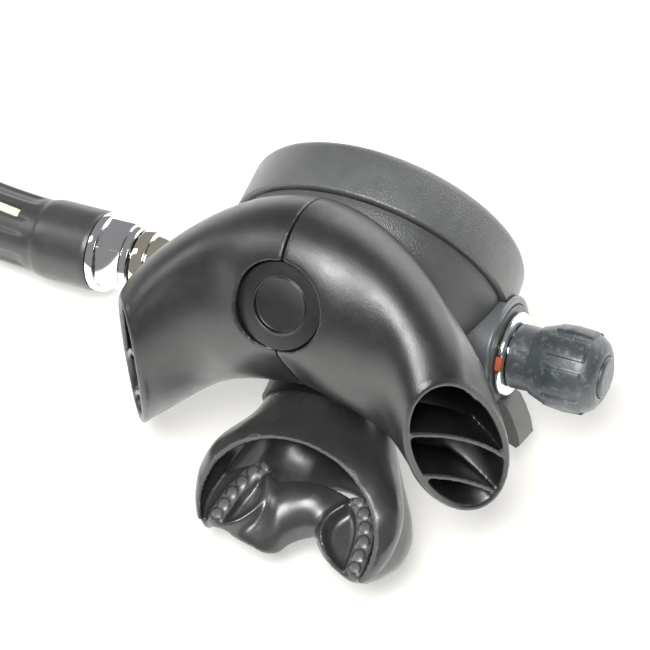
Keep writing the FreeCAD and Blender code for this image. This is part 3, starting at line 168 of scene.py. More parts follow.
def grain(tree, scale, detail, rough):
    place = tree.nodes.new("ShaderNodeTexCoord")
    noise = tree.nodes.new("ShaderNodeTexNoise")
    noise.inputs["Scale"].default_value = scale
    noise.inputs["Detail"].default_value = detail
    noise.inputs["Roughness"].default_value = rough
    link(tree, place, "Object", noise, "Vector")
    return noise


def ramp(tree, source, output, stops):
    node = tree.nodes.new("ShaderNodeValToRGB")
    while len(node.color_ramp.elements) < len(stops):
        node.color_ramp.elements.new(0.5)
    for element, (place, colour) in zip(node.color_ramp.elements, stops):
        element.position = place
        element.color = (*colour, 1)
    link(tree, source, output, node, "Fac")
    return node


def grey(value):
    return (value, value, value)


def plastic(name, colour, rough, beads=0.0, beadScale=1600, wear=0.0, wave=0.0, spread=0.12, shine=0.5,
            scuffFrom=0.56):
    # beads is a moulded texture's strength, wave a soft ripple's, wear how pale the scuffs are.
    material, tree, shader = basicMaterial(name, colour, rough)
    shader.inputs["Specular IOR Level"].default_value = shine
    tone = grain(tree, *grains["tone"])
    dark = tuple(c * (1 - spread) for c in colour)
    light = tuple(c * (1 + spread) for c in colour)
    shade = ramp(tree, tone, "Fac", [(noiseLow, dark), (noiseHigh, light)])
    colourOut = shade
    if wear:
        scuff = grain(tree, *grains["scuff"])
        mask = ramp(tree, scuff, "Fac", [(scuffFrom, grey(0)), (scuffFrom + plasticLook["scuffWide"], grey(wear))])
        mix = tree.nodes.new("ShaderNodeMixRGB")
        pale = [min(1, c * plasticLook["scuffGain"] + plasticLook["scuffLift"]) for c in colour]
        mix.inputs["Color2"].default_value = (*pale, 1)
        link(tree, mask, "Color", mix, "Fac")
        link(tree, shade, "Color", mix, "Color1")
        colourOut = mix
    link(tree, colourOut, "Color", shader, "Base Color")
    gloss = grain(tree, *grains["gloss"])
    roughness = ramp(tree, gloss, "Fac", [(noiseLow, grey(rough - plasticLook["glossDown"])),
                                          (noiseHigh, grey(rough + plasticLook["glossUp"]))])
    link(tree, roughness, "Color", shader, "Roughness")
    bump = tree.nodes.new("ShaderNodeBump")
    bump.inputs["Distance"].default_value = plasticLook["bumpDepth"]
    if beads:
        beadNoise = grain(tree, beadScale, 1, 0.5)
        bump.inputs["Strength"].default_value = beads
        link(tree, beadNoise, "Fac", bump, "Height")
    else:
        bump.inputs["Strength"].default_value = wave or plasticLook["plainBump"]
        link(tree, grain(tree, *grains["ripple"]), "Fac", bump, "Height")
    link(tree, bump, "Normal", shader, "Normal")
    return material


def metalFinish(name, colour, rough, scratches=0.06):
    material, tree, shader = basicMaterial(name, colour, rough, 1.0)
    noise = grain(tree, *grains["scratch"])
    roughness = ramp(tree, noise, "Fac", [(noiseLow, grey(rough)),
                                          (metalLook["scratchHigh"], grey(rough + scratches))])
    link(tree, roughness, "Color", shader, "Roughness")
    tone = grain(tree, *grains["cast"])
    shade = ramp(tree, tone, "Fac", [(noiseLow, tuple(c * metalLook["dim"] for c in colour)), (noiseHigh, colour)])
    link(tree, shade, "Color", shader, "Base Color")
    bump = tree.nodes.new("ShaderNodeBump")
    bump.inputs["Strength"].default_value = metalLook["bump"]
    bump.inputs["Distance"].default_value = metalLook["bumpDepth"]
    link(tree, grain(tree, *grains["brush"]), "Fac", bump, "Height")
    link(tree, bump, "Normal", shader, "Normal")
    return material


caseTexture = plastic("caseTexture", (0.064, 0.068, 0.066), 0.4, beads=0.7, beadScale=2800, shine=0.8)
ringTexture = plastic("ringTexture", (0.085, 0.09, 0.086), 0.38, beads=0.65, beadScale=2800, shine=0.9)
teeSatin = plastic("teeSatin", (0.011, 0.0118, 0.0113), 0.34, beads=0.24, beadScale=4000, wear=0.1, shine=0.85)
badgeSatin = plastic("badgeSatin", (0.01, 0.0107, 0.0103), 0.32, beads=0.12, beadScale=3600, shine=0.8)
coverSatin = plastic("coverSatin", (0.04, 0.042, 0.042), 0.42, beads=0.4)
trimSatin = plastic("trimSatin", (0.1, 0.11, 0.117), 0.34, beads=0.15, wear=0.12, shine=0.8)
knobWorn = plastic("knobWorn", (0.045, 0.053, 0.059), 0.38, beads=0.2, wear=0.62, spread=0.45, shine=0.8,
                   scuffFrom=0.52)
leverSatin = plastic("leverSatin", (0.1, 0.104, 0.096), 0.4, beads=0.2)
clampRubber = plastic("clampRubber", (0.012, 0.0125, 0.0125), 0.4, beads=0.1)
mouthSilicone = plastic("mouthSilicone", (0.033, 0.0348, 0.0332), 0.3, wave=0.06, shine=0.9)
# Pale silicone for the mouthpiece's painted rim highlight and its paler bump strips.
paleSilicone = plastic("paleSilicone", (0.1, 0.104, 0.098), 0.36, wave=0.06)
hoseRubber = plastic("hoseRubber", (0.022, 0.0225, 0.022), 0.44, wave=0.1, shine=0.7)
bootRubber = plastic("bootRubber", (0.035, 0.0362, 0.035), 0.4, beads=0.15, wear=0.1, shine=0.9)
# A cream bar in the boot's slot: a painted reflection of the chrome crimp beneath.
windowCream = plastic("windowCream", (0.82, 0.78, 0.62), 0.25)
sealRubber = plastic("sealRubber", (0.015, 0.015, 0.015), 0.4)
seatRubber = plastic("seatRubber", (0.08, 0.08, 0.09), 0.5)
clearSilicone = plastic("clearSilicone", (0.5, 0.51, 0.5), 0.35)
slipPlastic = plastic("slipPlastic", (0.7, 0.7, 0.68), 0.4)
markPaint = plastic("markPaint", (0.5, 0.13, 0.06), 0.3)
brightChrome = metalFinish("brightChrome", (0.84, 0.85, 0.87), 0.05)
goldChrome = metalFinish("goldChrome", (0.86, 0.81, 0.7), 0.06)
plainBrass = metalFinish("plainBrass", (0.75, 0.58, 0.3), 0.25, 0.12)
springSteel = metalFinish("springSteel", (0.6, 0.6, 0.61), 0.2, 0.1)
slotPaint = {
    "case_plastic": caseTexture, "ring_plastic": ringTexture, "tee_plastic": teeSatin,
    "badge_plastic": badgeSatin, "cover_plastic": coverSatin, "trim_plastic": trimSatin,
    "knob_plastic": knobWorn, "lever_plastic": leverSatin, "mouth_silicone": mouthSilicone,
    "clamp_plastic": clampRubber, "soft_silicone": clearSilicone, "hose_rubber": hoseRubber,
    "boot_rubber": bootRubber, "seal_rubber": sealRubber, "seat_rubber": seatRubber,
    "bright_chrome": brightChrome, "gold_brass": goldChrome, "plain_brass": plainBrass,
    "spring_steel": springSteel, "plate_steel": springSteel, "mark_paint": markPaint,
    "slip_plastic": slipPlastic,
}
slotOf = {entry["node"]: entry["material_slot"] for entry in frame["record"]["subparts"]}
for node, shape in frame["nodes"].items():
    shape.data.materials.clear()
    shape.data.materials.append(slotPaint[slotOf[node]])
print("materials ready")


# Pieces whose CAD shape is right: a copy is merged, its sharp edges are rounded a little, and it is
# dressed in the node's place.

carry = {"weld": 0.000002, "bevelFrom": 28, "segments": 2}


def carried(node, name, bevel, angle=35, flat=1.0):
    piece = newPiece(name, frame["nodes"][node].data.copy())
    openWelded(piece, carry["weld"])
    if flat:
        bpy.ops.mesh.dissolve_limited(angle_limit=math.radians(flat))
    bpy.ops.object.mode_set(mode="OBJECT")
    if bevel:
        edge = piece.modifiers.new("edge", "BEVEL")
        edge.width = bevel * mm
        edge.segments = carry["segments"]
        edge.limit_method = "ANGLE"
        edge.angle_limit = math.radians(carry["bevelFrom"])
        edge.use_clamp_overlap = True
        applyModifiers(piece)
    smoothPiece(piece, angle)
    dress(piece, slotPaint[slotOf[node]], bodyOf[node], node)
    return piece


for node, name, bevel in (
        ("cover_ring", "coverRing", 0.25), ("lock_ring", "lockRing", 0.12), ("inlet_collar", "inletCollar", 0.15),
        ("hose_nut", "hoseNut", 0.2), ("adjusting_knob", "adjustingKnob", 0.2), ("knob_cap", "knobCap", 0.2),
        ("purge_button", "purgeButton", 0.3), ("end_fitting", "endFitting", 0.15),
        ("end_ferrule", "endFerrule", 0.2), ("hose_ferrule", "hoseFerrule", 0.2)):
    carried(node, name, bevel)
for node, name in (("case_body", "caseBody"), ("barrel_trim_ring", "trimRing"), ("front_cover", "frontCover"),
                   ("venturi_lever", "venturiLever"), ("mouthpiece_clamp", "mouthClamp")):
    carried(node, name, 0.0, 30, 0.0)
carried("exhaust_valve", "exhaustValve", 0.0, 40, 0.0)


# Diaphragm: cut like a cake into slices.

membrane = {"slices": 12, "held": 31.2, "free": 20.6, "level": 5.9, "weld": 0.002}


def makeDiaphragm():
    step = 2 * math.pi / membrane["slices"]
    for index in range(membrane["slices"]):
        wedge = valveCopy("diaphragm", "diaphragmSlice%02d" % (index + 1))
        openWelded(wedge, membrane["weld"])
        for turn, keepsAfter in ((step * index, True), (step * (index + 1), False)):
            bpy.ops.mesh.select_all(action="SELECT")
            bpy.ops.mesh.bisect(plane_co=(0, 0, 0), plane_no=(-math.sin(turn), 0, math.cos(turn)),
                                use_fill=True, clear_inner=keepsAfter, clear_outer=not keepsAfter)
        bpy.ops.object.mode_set(mode="OBJECT")
        smoothPiece(wedge, 40)
        settle(wedge)
        wedge.data.materials.clear()
        wedge.data.materials.append(clearSilicone)
        way = Vector((math.cos(step * (index + 0.5)), 0, math.sin(step * (index + 0.5))))
        level = Vector((0, membrane["level"], 0))
        tuple(onFloor(level + way * membrane["held"]))
        tuple(onFloor(level + way * membrane["free"]))
        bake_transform(wedge)
        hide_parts("diaphragm")


makeDiaphragm()


def springPiece(node, name, joint, way, travel):
    # A spring carried from its CAD node, with a mesh of its own.
    piece = carried(node, name, 0.0, 50, 0.0)
    turned = settleMatrix.to_3x3() @ Vector(way)
    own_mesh(piece)


for setting in (("purge_spring", "purgeSpring", "purge_press", (0, -1, 0), 3.0),
                ("poppet_spring", "poppetSpring", "poppet_lift", (1, 0, 0), 0.85)):
    springPiece(*setting)
print("carried pieces ready")


# Hose: the CAD model's route from the ferrule's mouth to the far fitting. Its offsets are in mm, and
# thinner, which keeps the skin just inside the CAD tube, is in metres.

hose = {
    "exit": (-91.3, -7.1, -11.63),
    "route": [(0, 0, 0), (-11.88, 0.244, -1.679), (-34, 1.9, -1.7), (-64, 4.1, -1.75), (-92, 5.4, -2.1),
              (-120, 6.3, -5.4), (-144, 6.5, -5.98), (-166, 6.5, -5.98)],
    "radius": 6.25, "coilRadius": 62, "coilGrowth": 14.5, "hump": 24.2, "crossing": 3.7, "humpSpan": 0.95,
    "coilEnd": 5.2, "turnPoints": 16, "thinner": 0.00005,
}


def hosePoints():
    start = onFloor(hose["exit"])
    points = [start + Vector(offset) * mm for offset in hose["route"]]
    last = points[-1] / mm
    middle = Vector((last.x, last.y - hose["coilRadius"], 0))
    growth = hose["coilGrowth"] / (2 * math.pi)
    count = int(round(hose["coilEnd"] / 4 * hose["turnPoints"]))
    for index in range(1, count + 1):
        quarter = hose["coilEnd"] * index / count
        turn = quarter * math.pi / 2
        reach = hose["coilRadius"] + growth * turn
        angle = math.pi / 2 + turn
        near = max(0.0, 1 - abs(quarter - hose["crossing"]) / hose["humpSpan"])
        lift = hose["radius"] + (hose["hump"] - hose["radius"]) * near * near * (3 - 2 * near)
        points.append(Vector((middle.x + reach * math.cos(angle), middle.y + reach * math.sin(angle), lift)) * mm)
    way = Vector((-reach * math.sin(angle) + growth * math.cos(angle),
                  reach * math.cos(angle) + growth * math.sin(angle), 0)).normalized()
    points.append(points[-1] + way * 2 * hose["radius"] * mm)
    return points


def makeHose():
    points = hosePoints()
    curve = bpy.data.curves.new("hose", "CURVE")
    curve.dimensions = "3D"
    curve.bevel_depth = hose["radius"] * mm - hose["thinner"]
    curve.bevel_resolution = 8
    curve.resolution_u = 10
    curve.use_fill_caps = True
    line = curve.splines.new("NURBS")
    line.points.add(len(points) - 1)
    for entry, point in zip(line.points, points):
        entry.co = (*point, 1)
    line.order_u = 3
    line.use_endpoint_u = True
    piece = newPiece("hose", curve)
    dress(piece, hoseRubber, "valve", "hose_tube", "hose_coil")
    length = sum((b - a).length for a, b in zip(points, points[1:]))
    return piece, points, length


hosePiece, hoseLine, hoseLength = makeHose()
print("hose ready, control length %.3f m" % hoseLength)


# Mouthpiece: a flared silicone neck that ends in a thin upright shield, with two bite tabs and
# the bridge between them. Everything is in the valve's frame, in mm, until it is settled.

mouth = {
    "middle": (1.5, -12), "half": (18.1, 12.6), "bore": (15.85, 10.35), "start": -27.55, "waist": -37.6,
    "crown": (4.6, -52.4), "rightHalf": 26.2, "leftHalf": 24.4, "sweep": 17.4, "yaw": -5.2, "wrap": 111, "rim": 1.2,
    "upper": [(0, 3.9), (0.2, 3.4), (0.4, 1.7), (0.6, -1.6), (0.78, -5.6), (0.9, -8.6), (1, -11.2)],
    "lower": [(-1, -11.6), (-0.92, -15), (-0.8, -19.5), (-0.6, -24.6), (-0.4, -27), (-0.15, -27.6), (-0.03, -26),
              (0.06, -23.8), (0.16, -23), (0.3, -23.4), (0.48, -25), (0.64, -23.6), (0.8, -19.5), (0.92, -15),
              (1, -11.6)],
    "retreat": 2.2, "retreatAt": 0.2, "retreatWide": 0.24, "ringPoints": 112, "rows": 18, "voxel": 0.42,
    "smooth": 7, "rimHighlightReach": 0.62, "rimSamples": 90, "heart": (5, -11), "sidePower": 1.3,
    # How skin and bore leave the neck and reach the rim: pull to the right, to the left, outwards,
    # outwards at the sides, and along Z in the upper and in the lower half.
    "skinOut": (5.9, 0.4, -6.5, -3.9, -0.8, 0.8), "skinRim": (11.2, 8.5, 5.2, 4.4, -1.6, 2.2),
    "boreOut": (3.2, 0, -8.6, -3, 0, 0), "boreRim": (8.6, 6.2, 3.4, 4.2, -2.2, 2.6),
}
bite = {
    "outer": [(-21, -72.2), (-22, -66), (-20.2, -60), (-15.4, -55.8), (-9.4, -54.2), (-4.6, -58), (0, -56.7),
              (6.5, -55.6), (12, -55.8), (16.4, -56.7), (20.6, -56.2), (25.4, -61), (27.8, -67), (27.9, -73)],
    "inner": [(-19.8, -73.6), (-14.6, -74), (-10.6, -74.5), (-6.2, -75.3), (-2.2, -75.7), (0.9, -74.2), (2.9, -71.2),
              (6.0, -68.8), (9.0, -68), (11.2, -70.6), (14.4, -73.6), (18.8, -76.2), (23.1, -77.6), (27, -77.4)],
    "leftLip": [(-8.6, -56), (-6.3, -59.7), (-5.7, -62.4), (-6.2, -65.8), (-7.7, -68.8), (-9.9, -71.5),
                (-12.9, -73.4), (-16, -73.6)],
    "rightLip": [(17.5, -56.8), (14.4, -60.3), (12.4, -63.3), (11.9, -66.7), (12.9, -70.2), (15.3, -73.2),
                 (19.2, -75.9), (23.1, -77), (26.4, -77)],
    "leftBumps": [(-9, -54.9), (-11.5, -57.6), (-13.1, -61), (-14.5, -64.4), (-15.2, -68.1), (-15.9, -71.2)],
    "rightBumps": [(18.1, -57.4), (20.7, -60.4), (22.4, -63.9), (23.4, -67.6), (23.8, -71.4), (24, -74.8)],
    "level": -13, "strip": -10.6, "stripHalf": 2.6, "stripSoft": 0.22, "lip": -9.9, "lipHalf": 1.3, "bump": 0.45,
    # ring is the band round each bump that stays dark on the strips, a painted shade.
    "bumpRadius": 1.45, "bumpReach": 1.6, "bumpSoft": 0.09, "ring": (1.35, 1.85), "stripEdge": 0.3, "stripLow": 0.5,
    "bridge": 3.6, "bridgeAt": 0.47, "bridgeWide": 0.15, "bridgeBack": 0.32, "bridgeFall": 3.6, "thick": 3.2,
    "thinnest": 0.5, "rootThick": 0.6, "edgeFrom": 0.8, "edgeWide": 0.2, "edgeDrop": 1.7, "edgePower": 2.2,
    "along": 190, "across": 44,
}


def smoothCurve(spots, count):
    # A Catmull-Rom line through the spots, cut into count even steps.
    fineness = 24
    spots = [Vector(spot) for spot in spots]
    ends = [spots[0] * 2 - spots[1]] + spots + [spots[-1] * 2 - spots[-2]]
    fine = []
    for a, b, c, d in zip(ends, ends[1:], ends[2:], ends[3:]):
        for step in range(fineness):
            t = step / fineness
            fine.append(0.5 * (2 * b + (c - a) * t + (2 * a - 5 * b + 4 * c - d) * t * t
                               + (3 * b - a - 3 * c + d) * t ** 3))
    fine.append(spots[-1])
    lengths = [0.0]
    for a, b in zip(fine, fine[1:]):
        lengths.append(lengths[-1] + (b - a).length)
    line, index = [], 0
    for step in range(count + 1):
        want = lengths[-1] * step / count
        while index < len(fine) - 2 and lengths[index + 1] < want:
            index += 1
        span = lengths[index + 1] - lengths[index]
        share = (want - lengths[index]) / span if span else 0
        line.append(fine[index].lerp(fine[index + 1], min(1, max(0, share))))
    return line


def table(rows, place):
    # Value at a place from rows of (place, value), partly straight and partly eased.
    eased, straight = 0.35, 0.65
    for (x0, y0), (x1, y1) in zip(rows, rows[1:]):
        if place <= x1:
            t = (place - x0) / (x1 - x0)
            t = t * t * (3 - 2 * t) * eased + t * straight
            return y0 + (y1 - y0) * t
    return rows[-1][1]


def toLine(point, line):
    # Distance from a flat point to a line of flat spots.
    best = 1e9
    for a, b in zip(line, line[1:]):
        way = b - a
        share = max(0.0, min(1.0, (point - a).dot(way) / max(way.length_squared, 1e-9)))
        best = min(best, (point - a - way * share).length)
    return best


def rimPoint(share, upper):
    turn = math.radians(mouth["wrap"] * share)
    x, y = mouth["crown"]
    side = mouth["rightHalf" if share > 0 else "leftHalf"] * math.sin(turn)
    back = -mouth["sweep"] * (1 - math.cos(turn))
    if not upper:
        back += mouth["retreat"] * math.exp(-((share - mouth["retreatAt"]) / mouth["retreatWide"]) ** 2)
    yaw = math.radians(mouth["yaw"])
    spot = Vector((x + side * math.cos(yaw) - back * math.sin(yaw),
                   y + side * math.sin(yaw) + back * math.cos(yaw), 0))
    spot.z = table(mouth["upper"], abs(share)) if upper else table(mouth["lower"], share)
    return spot


def pulled(name, right, left, side, up, down):
    toRight, toLeft, out, outSide, inUpper, inLower = mouth[name]
    return Vector((toRight * right - toLeft * left, out + outSide * side, inUpper * up + inLower * down))


def shellRows():
    # Rings of the neck and shield: out along the skin to the rim, then back down the bore.
    count = mouth["ringPoints"]
    midX, midZ = mouth["middle"]
    stations = [index / mouth["rows"] for index in range(mouth["rows"] + 1)]
    outerRows = [[] for station in stations]
    innerRows = [[] for station in stations]
    sleeveOut, sleeveIn = [], []
    for index in range(count):
        phi = 2 * math.pi * index / count
        c, s = math.cos(phi), math.sin(phi)
        upper = s >= 0
        share = 1 - 2 * phi / math.pi if upper else 2 * (phi - math.pi) / math.pi - 1
        rim = rimPoint(share, upper)
        side = abs(c) ** mouth["sidePower"]
        right = max(0.0, c) ** mouth["sidePower"]
        left = max(0.0, -c) ** mouth["sidePower"]
        parts = (right, left, side, max(0, s), max(0, -s))
        heart = Vector((mouth["heart"][0], rim.y, mouth["heart"][1]))
        inward = (heart - rim).normalized()
        neck = Vector((midX + mouth["half"][0] * c, mouth["waist"], midZ + mouth["half"][1] * s))
        hole = Vector((midX + mouth["bore"][0] * c, mouth["waist"], midZ + mouth["bore"][1] * s))
        sleeveOut.append(Vector((neck.x, mouth["start"], neck.z)))
        sleeveIn.append(Vector((hole.x, mouth["start"], hole.z)))
        inRim = rim + inward * mouth["rim"]
        outer = [neck, neck + pulled("skinOut", *parts), rim + pulled("skinRim", *parts), rim]
        inner = [hole, hole + pulled("boreOut", *parts), inRim + pulled("boreRim", *parts), inRim]
        for t, outRow, inRow in zip(stations, outerRows, innerRows):
            for (first, out, back, last), row in ((outer, outRow), (inner, inRow)):
                row.append(first * (1 - t) ** 3 + out * 3 * t * (1 - t) ** 2 + back * 3 * t * t * (1 - t)
                           + last * t ** 3)
    return [sleeveOut] + outerRows + innerRows[::-1] + [sleeveIn]


def meshFromRows(name, rows, closed=True):
    # Skins rows of points; closed joins the last row to the first.
    mesh = bpy.data.meshes.new(name)
    count = len(rows[0])
    points = [point for row in rows for point in row]
    faces = []
    for index in range(len(rows) if closed else len(rows) - 1):
        low, high = index * count, (index + 1) % len(rows) * count
        for step in range(count):
            faces.append((low + step, low + (step + 1) % count, high + (step + 1) % count, high + step))
    mesh.from_pydata(points, [], faces)
    mesh.update()
    return newPiece(name, mesh)


def biteHeight(spot, share, across):
    # Height of the bite piece's top over a flat spot.
    strip = min(toLine(spot, biteLines["leftBumps"]), toLine(spot, biteLines["rightBumps"]))
    lip = min(toLine(spot, biteLines["leftLip"]), toLine(spot, biteLines["rightLip"]))
    middle = math.exp(-(((share - bite["bridgeAt"]) / bite["bridgeWide"]) ** 4))
    height = bite["level"] + bite["bridge"] * middle * (1 - (across - bite["bridgeBack"]) ** 2 * bite["bridgeFall"])
    plateau = 1 / (1 + math.exp((strip - bite["stripHalf"]) / bite["stripSoft"]))
    height += (bite["strip"] - height) * plateau
    ridge = math.exp(-(lip / bite["lipHalf"]) ** 2)
    height += (bite["lip"] - height) * ridge * (1 - plateau)
    near = min((spot - bump).length for bump in biteLines["bumps"])
    if near < bite["bumpRadius"] * bite["bumpReach"]:
        height += bite["bump"] / (1 + math.exp((near - bite["bumpRadius"]) / bite["bumpSoft"]))
    return height


biteLines = {key: smoothCurve(bite[key], 60) for key in ("leftLip", "rightLip", "leftBumps", "rightBumps")}
biteLines["bumps"] = [Vector(spot) for spot in bite["leftBumps"] + bite["rightBumps"]]


def makeBite():
    along, across = bite["along"], bite["across"]
    outer = smoothCurve(bite["outer"], along)
    inner = smoothCurve(bite["inner"], along)
    rows = []
    for index, (a, b) in enumerate(zip(outer, inner)):
        top, under = [], []
        for step in range(across + 1):
            share = step / across
            spot = a.lerp(b, share)
            height = biteHeight(spot, index / along, share)
            edge = max(0.0, (share - bite["edgeFrom"]) / bite["edgeWide"])
            drop = bite["edgeDrop"] * edge ** bite["edgePower"]
            thick = max(bite["thinnest"], bite["thick"] * math.sqrt(max(0.0, 1 - edge ** 3)))
            top.append(Vector((spot.x, spot.y, height - drop)))
            under.append(Vector((spot.x, spot.y, height - drop - thick - bite["rootThick"] * (1 - share))))
        rows.append(top + under[::-1])
    piece = meshFromRows("biteBlock", rows, closed=False)
    pick(piece)
    bpy.ops.object.mode_set(mode="EDIT")
    bpy.ops.mesh.select_all(action="DESELECT")
    bpy.ops.mesh.select_non_manifold()
    bpy.ops.mesh.edge_face_add()
    bpy.ops.mesh.select_all(action="SELECT")
    bpy.ops.mesh.quads_convert_to_tris(quad_method="BEAUTY", ngon_method="BEAUTY")
    bpy.ops.mesh.normals_make_consistent(inside=False)
    bpy.ops.object.mode_set(mode="OBJECT")
    return piece


def makeMouthpiece():
    shell = meshFromRows("mouthShell", shellRows())
    turnFacesOut(shell)
    block = makeBite()
    pick(shell)
    block.select_set(True)
    bpy.ops.object.join()
    shell.name = "siliconeMouthpiece"
    fuse = shell.modifiers.new("fuse", "REMESH")
    fuse.mode = "VOXEL"
    fuse.voxel_size = mouth["voxel"]
    soften = shell.modifiers.new("soften", "SMOOTH")
    soften.factor = 0.5
    soften.iterations = mouth["smooth"]
    applyModifiers(shell)
    smoothPiece(shell, 180)
    settle(shell)
    return shell


def paintRimHighlightAndPaleStrips(piece):
    # The rim takes the pale silicone as a painted highlight. The two strips of bumps are painted paler too, except a
    # ring round each bump that stays dark as painted shade.
    half = mouth["rimSamples"]
    rim = [rimPoint(step / half - 1, upper) for upper in (True, False) for step in range(2 * half + 1)]
    finder = kdtree.KDTree(len(rim))
    for index, spot in enumerate(rim):
        finder.insert(spot, index)
    finder.balance()
    back = settleMatrix.inverted()
    for face in piece.data.polygons:
        spot = (back @ face.center) / mm
        if spot.y > mouth["waist"]:
            continue
        # Faces near the rim take the pale silicone, a painted highlight.
        if finder.find(spot)[2] < mouth["rimHighlightReach"]:
            face.material_index = 1
        elif spot.z > bite["strip"] - bite["stripLow"]:
            flat = spot.to_2d()
            away = min((flat - bump).length for bump in biteLines["bumps"])
            strip = min(toLine(flat, biteLines["leftBumps"]), toLine(flat, biteLines["rightBumps"]))
            # Faces on the strips take the pale silicone; a ring round each bump stays dark, a painted shade.
            if strip < bite["stripHalf"] - bite["stripEdge"] and not bite["ring"][0] < away < bite["ring"][1]:
                face.material_index = 1


mouthPiece = makeMouthpiece()
dress(mouthPiece, mouthSilicone, bodyOf["mouthpiece"], "mouthpiece")
# Second material: the pale silicone for the painted rim highlight and the paler strips.
mouthPiece.data.materials.append(paleSilicone)
paintRimHighlightAndPaleStrips(mouthPiece)
print("mouthpiece ready", len(mouthPiece.data.polygons))


# Exhaust tee: the two CAD halves are skinned afresh with even faces and a round lip at each mouth,
# then hollowed beside the badge, in the valve's frame. A hollow is its place, its reach and its depth.

tee = {
    "voxel": 0.45, "smooth": 5,
    "hollows": [((-17.5, -34, 42), 7.5, 1.5), ((-21, -44, 30), 8, -0.8), ((17, -47.5, 27), 7, 0.9),
                ((26, -50, 22), 6, -0.7)],
    "mouthPlace": (44.4, -45.7, 11.6), "mouthWay": (0.767, -0.604, 0.217), "tall": 23.2, "wide": 11.5, "tilt": -1.8,
    "lip": 1.15, "lipSteps": 160, "lipSides": 14, "heart": (0, -23.5, 31), "fade": 2.5, "weld": 0.002,
}


def reskin(node, name, extra):
    # Takes the extra mesh in with the node's copy, and skins both as one.
    piece = valveCopy(node, name)
    openWelded(piece, tee["weld"])
    bpy.ops.object.mode_set(mode="OBJECT")
    extra.select_set(True)
    bpy.ops.object.join()
    skin = piece.modifiers.new("skin", "REMESH")
    skin.mode = "VOXEL"
    skin.voxel_size = tee["voxel"]
    soften = piece.modifiers.new("soften", "SMOOTH")
    soften.factor = 0.5
    soften.iterations = tee["smooth"]
    applyModifiers(piece)
    return piece


def mouthLip(side):
    # A round lip along a mouth's edge, fused into the skin; side is 1 on the right, -1 on the left.
    way = Vector(tee["mouthWay"]).normalized()
    up, across = squareTo(way)
    lean = math.radians(tee["tilt"])
    middle = Vector(tee["mouthPlace"])
    rows = []
    for index in range(tee["lipSteps"]):
        turn = 2 * math.pi * index / tee["lipSteps"]
        wide, tall = tee["wide"] * math.cos(turn), tee["tall"] * math.sin(turn)
        spot = (middle + across * (wide * math.cos(lean) + tall * math.sin(lean))
                + up * (tall * math.cos(lean) - wide * math.sin(lean)))
        outward = (spot - middle).normalized()
        ring = []
        for step in range(tee["lipSides"]):
            angle = 2 * math.pi * step / tee["lipSides"]
            point = spot + (outward * math.cos(angle) + way * math.sin(angle)) * tee["lip"]
            ring.append(Vector((point.x * side, point.y, point.z)))
        rows.append(ring)
    return meshFromRows("mouthLip", rows)


def makeTee():
    for node, name, side in (("tee_left", "teeLeft", -1), ("tee_right", "teeRight", 1)):
        piece = reskin(node, name, mouthLip(side))
        for vertex in piece.data.vertices:
            for place, reach, depth in tee["hollows"]:
                away = (vertex.co - Vector(place)).length / reach
                if away < tee["fade"]:
                    way = (Vector(tee["heart"]) - Vector(place)).normalized()
                    vertex.co += way * depth * math.exp(-away * away)
        smoothPiece(piece, 180)
        settle(piece)
        dress(piece, teeSatin, bodyOf[node], node)


makeTee()
print("tee ready")


# Rubber boot over the ferrule: a smooth collar, then a body with flats and a slot, that tapers onto the hose; in the
# slot lies a cream bar, a painted reflection of the chrome crimp beneath. It follows the hose's own line.

boot = {
    "before": 11.65, "ferruleEnd": -0.3, "length": 82, "ringPoints": 120, "step": 0.8,
    "profile": [(-11.65, 10.7), (-11.3, 11.1), (2.2, 11.1), (4.2, 10.9), (6.4, 10.2), (30, 10.1), (58, 9.7),
                (72, 8.6), (80, 7.7), (82, 7.2)],
    "ferruleBore": 8.35, "hoseBore": 6.62,
    "flats": 6, "flatDepth": 0.7, "flatStart": 7.5, "flatEnd": 66, "flatEase": (3, 5), "flatEdge": 9,
    "flatShare": 0.25,
    "slot": {"angle": 84, "half": 10, "start": 12, "end": 36, "depth": 1.3},
    # The cream bar in the slot, a painted reflection of the chrome crimp.
    "window": {"shorter": 1.6, "wide": 2.4, "thick": 0.7, "round": 0.3, "skin": 10.1, "lift": 0.1},
}


def hoseLine3d():
    # Points of the hose's own smooth line, in metres.
    bare = hosePiece.copy()
    bare.data = hosePiece.data.copy()
    bare.data.bevel_depth = 0
    bpy.context.collection.objects.link(bare)
    bpy.context.view_layer.update()
    mesh = bpy.data.meshes.new_from_object(bare.evaluated_get(bpy.context.evaluated_depsgraph_get()))
    points = [vertex.co.copy() for vertex in mesh.vertices]
    bpy.data.objects.remove(bare)
    bpy.data.meshes.remove(mesh)
    if (points[-1] - hoseLine[0]).length < (points[0] - hoseLine[0]).length:
        points.reverse()
    return points


def bootRadius(place, angle):
    for (x0, y0), (x1, y1) in zip(boot["profile"], boot["profile"][1:]):
        if place <= x1:
            break
    share = min(1, max(0, (place - x0) / (x1 - x0)))
    value = y0 + (y1 - y0) * share * share * (3 - 2 * share)
    easeIn, easeOut = boot["flatEase"]
    inside = min(1, max(0, (place - boot["flatStart"]) / easeIn))
    inside *= min(1, max(0, (boot["flatEnd"] - place) / easeOut))
    wave = math.cos(boot["flats"] * angle)
    value -= boot["flatDepth"] * inside / (1 + math.exp(-boot["flatEdge"] * (wave - boot["flatShare"])))
    slot = boot["slot"]
    turn = math.degrees(angle) % 360
    across = abs((turn - slot["angle"] + 180) % 360 - 180)
    if across < slot["half"] and slot["start"] < place < slot["end"]:
        value -= slot["depth"]
    return value


